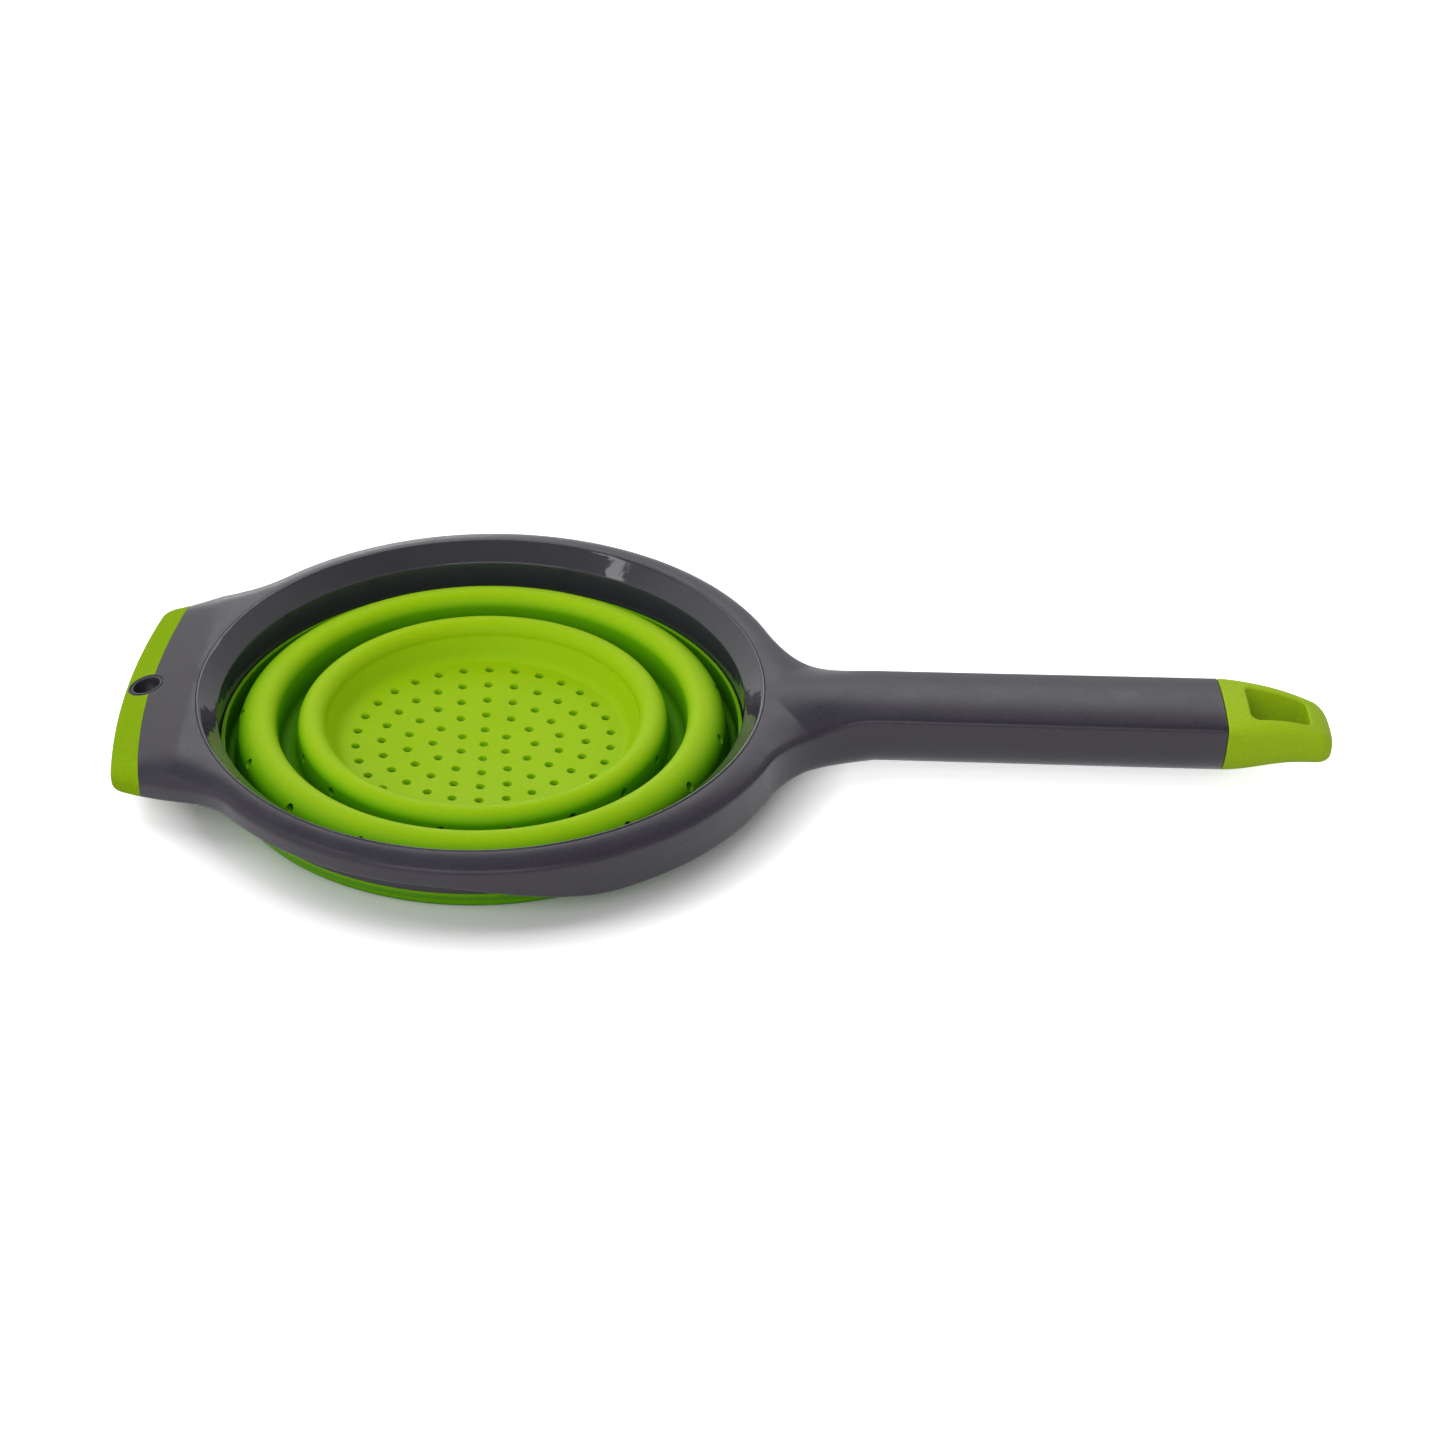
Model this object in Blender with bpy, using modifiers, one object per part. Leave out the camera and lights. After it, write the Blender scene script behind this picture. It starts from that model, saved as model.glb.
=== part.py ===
# Collapsible colander: a folding silicone bowl in a ring with a long handle and a grip tab.
# Modelled folded flat, as it lies on a table. Metres, +Z up, origin on the table below the
# middle of the whole length, +X along the handle.

import math

import bmesh
import bpy

MM = 0.001

# Fits between neighbouring pieces
GAP = 0.3 * MM
HALF_GAP = GAP / 2
OVERRUN = 4.0 * MM

# Ring, handle and tab, seen from above, measured from the bowl's axis
RIM_HEIGHT = 26.6 * MM
SEAT_RADIUS = 93.3 * MM
RING_WIDTH = 8.0 * MM
RING_SHIFT = 1.2 * MM
HANDLE_LENGTH = 142.7 * MM
HANDLE_HALF_WIDTH = 16.1 * MM
HANDLE_WAIST = 15.5 * MM
FLARE_RADIUS = 38.0 * MM
TAB_LENGTH = 17.0 * MM
TAB_END_RADIUS = 280.0 * MM
TAB_SIDE_SETBACK = 10.3 * MM
TAB_SIDE_HALF_WIDTH = 58.0 * MM
TAB_SIDE_ANGLE = math.radians(20.5)
TAB_FLARE_RADIUS = 36.0 * MM
TAB_CORNER_RADIUS = 6.0 * MM

# Heights of the frame, measured down from the rim plane
HANDLE_DOME = 1.1 * MM
HANDLE_EDGE_DROP = 0.7 * MM
HANDLE_DEPTH = 21.8 * MM
FLARE_EDGE_DROP = 4.2 * MM
RING_EDGE_DROP = 2.0 * MM
RING_FLARE_DEPTH = 19.5 * MM
RING_DEEP_DEPTH = 17.3 * MM
RING_SLIM_DEPTH = 8.4 * MM
TAB_EDGE_DROP = 6.2 * MM
TAB_EDGE_THICKNESS = 6.6 * MM
DEEP_TO_SLIM_START = math.radians(60)
DEEP_TO_SLIM_END = math.radians(95)
EDGE_ROUND = 2.0 * MM

# Powers of the curves that shape a section's top and side
TOP_POWER = 2.2
TAB_TOP_POWER = 0.9
HANDLE_POWER = 3.0
RING_POWER = 9.0

# Hollow of the handle
HANDLE_WALL = 2.8 * MM
BORE_LENGTH = 118.0 * MM

# Channel moulded into the underside of the ring, between the handle's flare and the tab
CHANNEL_WALL = 2.3 * MM
CHANNEL_ROOF = 3.6 * MM
CHANNEL_START = math.radians(42)
CHANNEL_END = math.radians(134)

# Hole and green strip at the end of the tab
TAB_HOLE_SETBACK = 7.3 * MM
TAB_HOLE_RADIUS = 4.4 * MM
TAB_HOLE_CHAMFER = 0.6 * MM
TAB_BOSS_WALL = 1.7 * MM
GRIP_WIDTH = 9.0 * MM
TONGUE_LENGTH = 5.0 * MM
TONGUE_THICKNESS = 2.4 * MM
TONGUE_SIDE_MARGIN = 20.0 * MM

# Bowl ring: flange with a bevel, and a skirt that the silicone grips
FLANGE_WIDTH = 6.6 * MM
FLANGE_DEPTH = 9.1 * MM
FLANGE_CONE_HEIGHT = 4.5 * MM
BEVEL_DEPTH = 5.7 * MM
SKIRT_LEDGE = 0.3 * MM
SKIRT_WALL = 2.9 * MM
SKIRT_BOTTOM = 7.5 * MM
SNAP_DROP = 5.0 * MM
SNAP_WIDTH = 1.0 * MM
SNAP_REACH = 0.5 * MM

# Silicone bowl, folded: the wall, the spacing and bends of its folds, and their heights
SILICONE_WALL = 2.0 * MM
OUTER_FOLD_SPACING = 10.9 * MM
MIDDLE_FOLD_SPACING = 8.1 * MM
INNER_FOLD_SPACING = 8.0 * MM
OUTER_VALLEY_BEND = 2.4 * MM
OUTER_SHOULDER_BEND = 7.2 * MM
OUTER_CREST_BEND = 3.8 * MM
INNER_VALLEY_BEND = 3.65 * MM
INNER_CREST_BEND = 3.65 * MM
FOOT_CUT = 0.5 * MM
OUTER_CREST_TOP = 18.4 * MM
INNER_VALLEY_LIFT = 1.0 * MM
INNER_CREST_TOP = 16.6 * MM
LIP_HEIGHT = 3.5 * MM
LIP_WALL = 1.2 * MM
LEDGE_THICKNESS = 1.6 * MM

# Dished floor
FLOOR_LIFT = 0.2 * MM
FLOOR_RISE = 2.4 * MM
FLOOR_BEND_SETBACK = 6.2 * MM
FLOOR_BEND_WIDTH = 4.2 * MM
FLOOR_BEND_RISE = 3.4 * MM
FLOOR_CORNER_SHARES = (0.6, 0.3)

# Drain holes
FLOOR_HOLE_RADIUS = 1.4 * MM
FLOOR_HOLE_PITCH = 8.5 * MM
FLOOR_HOLE_MARGIN = 3.0 * MM
FLOOR_HOLE_TURN = math.radians(92.1)
WALL_HOLE_RADIUS = 1.5 * MM
OUTER_WALL_HOLES = 17
INNER_WALL_HOLES = 18
OUTER_WALL_HOLE_DROP = 4.2 * MM
INNER_WALL_HOLE_DROP = 6.2 * MM
OUTER_WALL_HOLE_TURN = math.radians(-92.7)
INNER_WALL_HOLE_TURN = math.radians(-97.8)

# End cap with its hanging loop
CAP_LENGTH = 36.7 * MM
CAP_TIP_HALF_WIDTH = 11.2 * MM
CAP_TIP_DROP = 7.2 * MM
CAP_ARCH_DEPTH = 19.0 * MM
CAP_TOP_POWER = 2.6
CAP_EDGE_ROUND = 3.0 * MM
CAP_TIP_ROUND = 5.0 * MM
CAP_TIP_ROUND_Z = 2.6 * MM
TENON_LENGTH = 14.0 * MM
LOOP_SETBACK = 8.5 * MM
LOOP_LENGTH = 20.3 * MM
LOOP_START_HALF_WIDTH = 9.4 * MM
LOOP_END_HALF_WIDTH = 7.0 * MM
LOOP_CORNER = 2.6 * MM

# Smoothness of turned and lofted surfaces
RING_TURN_STEPS = 48
BOWL_TURN_STEPS = 36
ROD_SIDES = 24
HOLE_SIDES = 6
FLARE_STEPS = 10
FLARE_SEAT_STEPS = 5
RING_STEPS = 22
TAB_FLARE_STEPS = 4
TAB_SIDE_STEPS = 3
TAB_CORNER_STEPS = 4
TAB_END_STEPS = 6
FOLD_STEPS = 3

# Derived places
RING_RADIUS = SEAT_RADIUS + RING_WIDTH
HANDLE_END = RING_RADIUS + HANDLE_LENGTH
CAP_TIP_X = HANDLE_END + CAP_LENGTH
TAB_REACH = RING_RADIUS + TAB_LENGTH
TAB_SIDE_X = RING_RADIUS - TAB_SIDE_SETBACK
TAB_END_CENTRE_X = TAB_END_RADIUS - TAB_REACH
TAB_HOLE_X = TAB_REACH - TAB_HOLE_SETBACK
TAB_BOSS_RADIUS = TAB_HOLE_RADIUS + TAB_BOSS_WALL
BOWL_AXIS_X = (TAB_REACH - CAP_TIP_X) / 2
BOWL_RING_RADIUS = SEAT_RADIUS - GAP
BEVEL_RADIUS = SEAT_RADIUS - FLANGE_WIDTH
SKIRT_INNER_RADIUS = BEVEL_RADIUS - SKIRT_LEDGE
SKIRT_OUTER_RADIUS = SKIRT_INNER_RADIUS + SKIRT_WALL
LIP_RADIUS = SKIRT_INNER_RADIUS - GAP
FOLD_HALF_WALL = SILICONE_WALL / 2
OUTER_VALLEY_RADIUS = LIP_RADIUS - LIP_WALL - OUTER_VALLEY_BEND + FOLD_HALF_WALL
OUTER_CREST_RADIUS = OUTER_VALLEY_RADIUS - OUTER_FOLD_SPACING
INNER_VALLEY_RADIUS = OUTER_CREST_RADIUS - MIDDLE_FOLD_SPACING
INNER_CREST_RADIUS = INNER_VALLEY_RADIUS - INNER_FOLD_SPACING
FLOOR_BEND_RADIUS = INNER_CREST_RADIUS - FLOOR_BEND_SETBACK
FLOOR_EDGE_RADIUS = FLOOR_BEND_RADIUS - FLOOR_BEND_WIDTH
FLOOR_HOLE_RINGS = int((FLOOR_EDGE_RADIUS - FLOOR_HOLE_MARGIN) / FLOOR_HOLE_PITCH)


# Scene and collections

def clear_scene():
    for obj in list(bpy.data.objects):
        bpy.data.objects.remove(obj, do_unlink=True)


def make_collection(name):
    collection = bpy.data.collections.new(name)
    bpy.context.scene.collection.children.link(collection)
    return collection


def make_material(name, colour, roughness, metallic=0.0):
    material = bpy.data.materials.new(name)
    material.use_nodes = True
    shader = material.node_tree.nodes["Principled BSDF"]
    shader.inputs["Base Color"].default_value = (*colour, 1.0)
    shader.inputs["Roughness"].default_value = roughness
    shader.inputs["Metallic"].default_value = metallic
    return material


def add_object(name, mesh, collection, parent, material=None):
    obj = bpy.data.objects.new(name, mesh)
    collection.objects.link(obj)
    obj.parent = parent
    if material:
        mesh.materials.append(material)
        mesh.shade_smooth()
        mesh.set_sharp_from_angle(angle=math.radians(35))
    return obj


def add_empty(name, collection, parent=None, location=(0, 0, 0)):
    empty = bpy.data.objects.new(name, None)
    collection.objects.link(empty)
    empty.parent = parent
    empty.location = location
    return empty


def mesh_from_bmesh(name, bm):
    mesh = bpy.data.meshes.new(name)
    bmesh.ops.recalc_face_normals(bm, faces=bm.faces)
    bm.to_mesh(mesh)
    bm.free()
    return mesh


# Modifiers

def turn(obj, steps, merge=False):
    screw = obj.modifiers.new("Turn", "SCREW")
    screw.steps = steps
    screw.render_steps = steps
    screw.use_merge_vertices = merge
    screw.merge_threshold = GAP / 30


def mirror_sides(obj):
    mirror = obj.modifiers.new("Other side", "MIRROR")
    mirror.use_axis = (False, True, False)
    mirror.merge_threshold = GAP / 30


def combine(obj, other, operation):
    boolean = obj.modifiers.new(operation.title() + " " + other.name, "BOOLEAN")
    boolean.operation = operation
    boolean.object = other


# Plane geometry

def arc(centre, radius, start, end, steps):
    """Points on an arc, both ends included."""
    points = []
    for i in range(steps + 1):
        angle = start + (end - start) * i / steps
        points.append((centre[0] + radius * math.cos(angle), centre[1] + radius * math.sin(angle)))
    return points


def smooth(share):
    share = min(max(share, 0.0), 1.0)
    return share * share * (3 - 2 * share)


def mix(first, second, share):
    return first + (second - first) * share


def direction(centre, point):
    return math.atan2(point[1] - centre[1], point[0] - centre[0])


def point_between(first, second, share):
    return mix(first[0], second[0], share), mix(first[1], second[1], share)


def reach_along_line(start, heading, centre, distance):
    """How far along a line from start a point lies at the given distance from centre."""
    dx = start[0] - centre[0]
    dy = start[1] - centre[1]
    middle = -(dx * math.cos(heading) + dy * math.sin(heading))
    spread = math.sqrt(middle * middle - dx * dx - dy * dy + distance * distance)
    return middle - spread, middle + spread


def point_along(start, heading, distance):
    return start[0] + distance * math.cos(heading), start[1] + distance * math.sin(heading)


# Lofted sections of the frame and the cap

TOP_SHARES = (0.0, 0.4, 0.75)
EDGE_STEPS = 3
SIDE_STEPS = 5
HANDLE_STATION_SHARES = (1.0, 0.85, 0.7)


def section(inner, outer, heights, powers, edge_round):
    """One side of a moulding's section, from its inner line over the edge to the underside."""
    top, edge, bottom_in, bottom_out = heights
    top_power, power = powers
    width = math.dist(inner, outer)
    corner_share = 1 - edge_round / width
    points = []

    def add(share, height):
        points.append((mix(inner[0], outer[0], share), mix(inner[1], outer[1], share), height))

    def top_height(share):
        return mix(top, edge, share ** top_power)

    for share in TOP_SHARES:
        add(share * corner_share, top_height(share * corner_share))
    low = edge - edge_round
    start_height = top_height(corner_share)
    for i in range(EDGE_STEPS):
        t = i / EDGE_STEPS
        share = mix(mix(corner_share, 1, t), 1, t)
        height = mix(mix(start_height, edge, t), mix(edge, low, t), t)
        add(share, height)
    for i in range(SIDE_STEPS + 1):
        angle = math.pi / 2 * i / SIDE_STEPS
        share = max(math.cos(angle), 0.0) ** (2 / power)
        depth_share = math.sin(angle) ** (2 / power)
        if i == SIDE_STEPS:
            share = 0.0
        add(share, mix(low, mix(bottom_in, bottom_out, share), depth_share))
    return points


def loft(name, sections, walled=(), start_cap=False, end_cap=False):
    """Skin over one half's sections. walled numbers the spans whose inner edge is closed."""
    bm = bmesh.new()
    rows = [[bm.verts.new(point) for point in points] for points in sections]
    for k in range(len(rows) - 1):
        for i in range(len(rows[k]) - 1):
            bm.faces.new((rows[k][i], rows[k][i + 1], rows[k + 1][i + 1], rows[k + 1][i]))
        if k in walled:
            bm.faces.new((rows[k][-1], rows[k][0], rows[k + 1][0], rows[k + 1][-1]))
    if start_cap:
        bm.faces.new(rows[0])
    if end_cap:
        bm.faces.new(rows[-1])
    return mesh_from_bmesh(name, bm)


# Frame: ring, handle and tab in one moulding

def handle_section(x, inset):
    """Section of the handle, or of a core or tenon that lies inset from its surface."""
    share = smooth((x - HANDLE_END / 2) / (HANDLE_END / 2))
    half_width = mix(HANDLE_WAIST, HANDLE_HALF_WIDTH, share) - inset
    top = RIM_HEIGHT + HANDLE_DOME - inset
    edge = RIM_HEIGHT - HANDLE_EDGE_DROP - inset
    bottom = RIM_HEIGHT - HANDLE_DEPTH + inset
    heights = top, edge, bottom, bottom
    return section((x, 0), (x, half_width), heights, (TOP_POWER, HANDLE_POWER), EDGE_ROUND)


def ring_depth(azimuth):
    deep = mix(RING_FLARE_DEPTH, RING_DEEP_DEPTH, smooth(azimuth / DEEP_TO_SLIM_START))
    share = smooth((azimuth - DEEP_TO_SLIM_START) / (DEEP_TO_SLIM_END - DEEP_TO_SLIM_START))
    return mix(deep, RING_SLIM_DEPTH, share)


def seat_point(azimuth):
    return SEAT_RADIUS * math.cos(azimuth), SEAT_RADIUS * math.sin(azimuth)


def flare_sections():
    """From the handle round the concave flare to the ring."""
    ring_centre = (RING_SHIFT, 0)
    reach = RING_RADIUS + FLARE_RADIUS
    height = HANDLE_WAIST + FLARE_RADIUS
    centre = (RING_SHIFT + math.sqrt(reach * reach - height * height), height)
    ring_side = direction(centre, ring_centre)
    outline = arc(centre, FLARE_RADIUS, -math.pi / 2, ring_side, FLARE_STEPS)
    on_axis = FLARE_STEPS - FLARE_SEAT_STEPS
    last_azimuth = direction((0, 0), outline[-1])
    sections = []
    for k, outer in enumerate(outline):
        share = k / FLARE_STEPS
        if k <= on_axis:
            inner = (mix(centre[0], SEAT_RADIUS, k / on_axis), 0)
        else:
            inner = seat_point(last_azimuth * (k - on_axis) / FLARE_SEAT_STEPS)
        dip = math.sin(math.pi * share) ** 2 * (FLARE_EDGE_DROP - RING_EDGE_DROP)
        edge = RIM_HEIGHT - mix(HANDLE_EDGE_DROP, RING_EDGE_DROP, share) - dip
        top = RIM_HEIGHT + HANDLE_DOME * (1 - smooth(k / on_axis))
        bottom = RIM_HEIGHT - mix(HANDLE_DEPTH, ring_depth(last_azimuth), smooth(share))
        power = mix(HANDLE_POWER, RING_POWER, share)
        heights = top, edge, bottom, bottom
        sections.append(section(inner, outer, heights, (TOP_POWER, power), EDGE_ROUND))
    return sections, on_axis, outline[-1]


def tab_outline():
    """Tab from the ring's tangent point round the corner to the middle of its end."""
    ring_centre = (RING_SHIFT, 0)
    side_point = (-TAB_SIDE_X, TAB_SIDE_HALF_WIDTH)
    inward = TAB_SIDE_ANGLE
    outward_normal = inward + math.pi / 2
    flare_line = point_along(side_point, outward_normal, TAB_FLARE_RADIUS)
    reach = reach_along_line(flare_line, inward, ring_centre, RING_RADIUS + TAB_FLARE_RADIUS)[0]
    if reach < -TAB_REACH:
        reach = reach_along_line(flare_line, inward, ring_centre, RING_RADIUS + TAB_FLARE_RADIUS)[1]
    flare_centre = point_along(flare_line, inward, reach)
    end_centre = (TAB_END_CENTRE_X, 0)
    corner_line = point_along(side_point, outward_normal, -TAB_CORNER_RADIUS)
    corner_reach = reach_along_line(
        corner_line, inward + math.pi, end_centre, TAB_END_RADIUS - TAB_CORNER_RADIUS)[1]
    corner_centre = point_along(corner_line, inward + math.pi, corner_reach)
    end_angle = direction(end_centre, corner_centre)
    ring_angle = direction(flare_centre, ring_centre)
    flare = arc(flare_centre, TAB_FLARE_RADIUS, ring_angle, inward - math.pi / 2, TAB_FLARE_STEPS)
    corner = arc(corner_centre, TAB_CORNER_RADIUS, outward_normal, end_angle, TAB_CORNER_STEPS)
    side = [point_between(flare[-1], corner[0], k / TAB_SIDE_STEPS)
            for k in range(1, TAB_SIDE_STEPS)]
    end = arc(end_centre, TAB_END_RADIUS, end_angle, math.pi, TAB_END_STEPS)
    return flare + side, corner, end[1:]


def ring_and_tab_sections(flare_end):
    """From the flare round the slim side of the ring to the middle of the tab's end."""
    ring_centre = (RING_SHIFT, 0)
    flare, corner, end = tab_outline()
    start = direction(ring_centre, flare_end)
    finish = direction(ring_centre, flare[0])
    ring = arc(ring_centre, RING_RADIUS, start, finish, RING_STEPS)[1:-1]
    tab = flare + corner + end
    tab_start = direction((0, 0), flare[0])
    tab_full = direction((0, 0), corner[0])
    sections = []
    for outer in ring + tab:
        azimuth = direction((0, 0), outer)
        along = min(max((azimuth - tab_start) / (tab_full - tab_start), 0.0), 1.0)
        share = smooth(along)
        edge = RIM_HEIGHT - mix(RING_EDGE_DROP, TAB_EDGE_DROP, share)
        bottom_in = RIM_HEIGHT - ring_depth(azimuth)
        bottom_out = mix(bottom_in, edge - TAB_EDGE_THICKNESS, 1 - (1 - along) ** 2)
        inner = seat_point(azimuth)
        heights = RIM_HEIGHT, edge, bottom_in, bottom_out
        powers = mix(TOP_POWER, TAB_TOP_POWER, share), RING_POWER
        sections.append(section(inner, outer, heights, powers, EDGE_ROUND))
    return sections


def frame_blank(name):
    """The whole moulding with the tab's end in place, before holes and strip are cut."""
    straight = [handle_section(HANDLE_END * share, 0) for share in HANDLE_STATION_SHARES]
    flare, on_axis, flare_end = flare_sections()
    sections = straight + flare + ring_and_tab_sections(flare_end)
    first_wall = len(straight) + on_axis
    return loft(name, sections, walled=range(first_wall, len(sections)), start_cap=True)


# Cutters

def prism(name, outline, low, high, collection, parent):
    """A flat outline raised from one height to another."""
    bm = bmesh.new()
    face = bm.faces.new([bm.verts.new((x, y, low)) for x, y in outline])
    top = bmesh.ops.extrude_face_region(bm, geom=[face])["geom"]
    raised = [item for item in top if isinstance(item, bmesh.types.BMVert)]
    bmesh.ops.translate(bm, vec=(0, 0, high - low), verts=raised)
    return hide_cutter(add_object(name, mesh_from_bmesh(name, bm), collection, parent))


def hide_cutter(obj):
    obj.hide_render = True
    obj.display_type = "WIRE"
    return obj


def add_rod(bm, radius, length, place, turn_angle, sides):
    """A rod whose axis is level and points along turn_angle, or upright where that is None."""
    rod = bmesh.ops.create_cone(
        bm, cap_ends=True, segments=sides, radius1=radius, radius2=radius, depth=length)
    if turn_angle is not None:
        spin = math.cos(turn_angle), math.sin(turn_angle)
        for vert in rod["verts"]:
            x, y, z = vert.co
            vert.co = (z * spin[0] - y * spin[1], z * spin[1] + y * spin[0], x)
    bmesh.ops.translate(bm, vec=place, verts=rod["verts"])


def ring_channel(collection, parent):
    """Bands that core both sides of the ring from below."""
    inner_radius = SEAT_RADIUS + CHANNEL_WALL
    outer_radius = RING_RADIUS - CHANNEL_WALL
    outline = arc((0, 0), inner_radius, CHANNEL_END, CHANNEL_START, RING_STEPS)
    outline += arc((RING_SHIFT, 0), outer_radius, CHANNEL_START, CHANNEL_END, RING_STEPS)
    roof = RIM_HEIGHT - CHANNEL_ROOF
    obj = prism("ring_channel_bands", outline, 0, roof, collection, parent)
    mirror_sides(obj)
    return obj


def floor_hole_cutter(collection, parent):
    """Rings of upright rods: one in the middle, then six more in each ring."""
    bm = bmesh.new()
    height = (FLOOR_RISE + SILICONE_WALL + OVERRUN) * 2
    for ring in range(FLOOR_HOLE_RINGS + 1):
        count = max(6 * ring, 1)
        for i in range(count):
            angle = FLOOR_HOLE_TURN + 2 * math.pi * i / count
            radius = ring * FLOOR_HOLE_PITCH
            place = (radius * math.cos(angle), radius * math.sin(angle), 0)
            add_rod(bm, FLOOR_HOLE_RADIUS, height, place, None, HOLE_SIDES)
    mesh = mesh_from_bmesh("floor_hole_rods", bm)
    return hide_cutter(add_object("floor_hole_rods", mesh, collection, parent))


def wall_hole_cutter(name, count, turn_angle, radius, height, collection, parent):
    bm = bmesh.new()
    for i in range(count):
        angle = turn_angle + 2 * math.pi * i / count
        place = (radius * math.cos(angle), radius * math.sin(angle), height)
        add_rod(bm, WALL_HOLE_RADIUS, SILICONE_WALL * 3, place, angle, HOLE_SIDES)
    return hide_cutter(add_object(name, mesh_from_bmesh(name, bm), collection, parent))


def strip_outline(width, half_width, reach):
    """Plan of the tab's end beyond an arc that lies width inside its end."""
    radius = TAB_END_RADIUS - width
    spread = math.asin(half_width / radius)
    centre = (TAB_END_CENTRE_X, 0)
    inner_arc = arc(centre, radius, math.pi + spread, math.pi - spread, TAB_END_STEPS * 2)
    outer_arc = arc(centre, TAB_END_RADIUS + reach, math.pi - spread, math.pi + spread,
                    TAB_END_STEPS * 2)
    return inner_arc + outer_arc


def tab_share(x):
    """How far out between the seat and the tab's end a place lies."""
    return (x - SEAT_RADIUS) / (TAB_REACH - SEAT_RADIUS)


def tab_middle_height():
    """Middle of the tab's thickness at its strip."""
    inner_bottom = RIM_HEIGHT - RING_SLIM_DEPTH
    edge = RIM_HEIGHT - TAB_EDGE_DROP
    outer_middle = edge - TAB_EDGE_THICKNESS / 2
    inner_middle = (RIM_HEIGHT + inner_bottom) / 2
    return mix(inner_middle, outer_middle, tab_share(TAB_HOLE_X))


def tongue(name, clearance, collection, parent):
    """Tongue of the frame that the strip is moulded over, or the slot around it."""
    middle = tab_middle_height()
    half = TONGUE_THICKNESS / 2 + clearance
    radius = TAB_END_RADIUS - GRIP_WIDTH - OVERRUN
    tip_radius = TAB_END_RADIUS - GRIP_WIDTH + TONGUE_LENGTH + clearance
    half_width = TAB_SIDE_HALF_WIDTH - TONGUE_SIDE_MARGIN
    spread = math.asin((half_width + clearance) / radius)
    centre = (TAB_END_CENTRE_X, 0)
    outline = arc(centre, radius, math.pi + spread, math.pi - spread, TAB_END_STEPS * 2)
    outline += arc(centre, tip_radius, math.pi - spread, math.pi + spread, TAB_END_STEPS * 2)
    return prism(name, outline, middle - half, middle + half, collection, parent)


def boss_rod(name, radius, collection, parent):
    bm = bmesh.new()
    add_rod(bm, radius, RIM_HEIGHT * 2, (-TAB_HOLE_X, 0, RIM_HEIGHT), None, ROD_SIDES)
    return hide_cutter(add_object(name, mesh_from_bmesh(name, bm), collection, parent))


def hole_rod(collection, parent):
    """Hanging hole in the tab, with a chamfer at its upper mouth."""
    obj = boss_rod("tab_hole_rod", TAB_HOLE_RADIUS, collection, parent)
    mouth = RIM_HEIGHT - TAB_EDGE_DROP * tab_share(TAB_HOLE_X) ** TAB_TOP_POWER
    bm = bmesh.new()
    bmesh.ops.create_cone(
        bm, cap_ends=True, segments=ROD_SIDES, radius1=TAB_HOLE_RADIUS,
        radius2=TAB_HOLE_RADIUS + TAB_HOLE_CHAMFER * 2, depth=TAB_HOLE_CHAMFER * 2)
    bmesh.ops.translate(bm, vec=(-TAB_HOLE_X, 0, mouth), verts=bm.verts)
    mesh = mesh_from_bmesh("tab_hole_chamfer", bm)
    chamfer = hide_cutter(add_object("tab_hole_chamfer", mesh, collection, parent))
    return obj, chamfer


def handle_core(name, start, end, inset, collection, parent):
    """Closed body along the handle, inset from its surface: the bore's core."""
    sections = [handle_section(start, inset), handle_section(end, inset)]
    mesh = loft(name, sections, start_cap=True, end_cap=True)
    obj = hide_cutter(add_object(name, mesh, collection, parent))
    mirror_sides(obj)
    return obj


def groove_ring(collection, parent):
    """Ring that cuts the snap groove into the frame's seat."""
    low = RIM_HEIGHT - SNAP_DROP - SNAP_WIDTH / 2 - GAP
    high = low + SNAP_WIDTH + GAP * 2
    outer = SEAT_RADIUS + SNAP_REACH + GAP
    inner = SEAT_RADIUS - SNAP_REACH - GAP
    profile = [(outer, high), (outer, low), (inner, low), (inner, high)]
    obj = turned("snap_groove_ring", profile, True, RING_TURN_STEPS, collection, parent)
    return hide_cutter(obj)


# Turned pieces

def profile_mesh(name, profile, closed):
    """Wire of a profile of (radius, height) points."""
    bm = bmesh.new()
    verts = [bm.verts.new((radius, 0, height)) for radius, height in profile]
    for first, second in zip(verts, verts[1:]):
        bm.edges.new((first, second))
    if closed:
        bm.edges.new((verts[-1], verts[0]))
    mesh = bpy.data.meshes.new(name)
    bm.to_mesh(mesh)
    bm.free()
    return mesh


def turned(name, profile, closed, steps, collection, parent, material=None):
    obj = add_object(name, profile_mesh(name, profile, closed), collection, parent, material)
    turn(obj, steps, merge=not closed)
    return obj


def fold_arc(radius, height, bend, start, end):
    """Stretch of a fold's bend in the profile, angles in quarter turns from the outside."""
    return arc((radius, height), bend, start * math.pi / 2, end * math.pi / 2, FOLD_STEPS)


def bowl_ring_profile():
    """Closed profile of the bowl ring, down its outer side and up its bevel."""
    flange_bottom = RIM_HEIGHT - FLANGE_DEPTH
    cone_bottom = flange_bottom - FLANGE_CONE_HEIGHT
    snap_height = RIM_HEIGHT - SNAP_DROP
    snap_low = snap_height - SNAP_WIDTH / 2
    snap_high = snap_height + SNAP_WIDTH / 2
    snap_radius = SEAT_RADIUS + SNAP_REACH - GAP / 3
    return [
        (BOWL_RING_RADIUS, RIM_HEIGHT),
        (BOWL_RING_RADIUS, snap_high),
        (snap_radius, snap_height),
        (BOWL_RING_RADIUS, snap_low),
        (BOWL_RING_RADIUS, flange_bottom),
        (SKIRT_OUTER_RADIUS, cone_bottom),
        (SKIRT_OUTER_RADIUS, SKIRT_BOTTOM),
        (SKIRT_INNER_RADIUS, SKIRT_BOTTOM),
        (BEVEL_RADIUS, RIM_HEIGHT - BEVEL_DEPTH),
    ]


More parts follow.
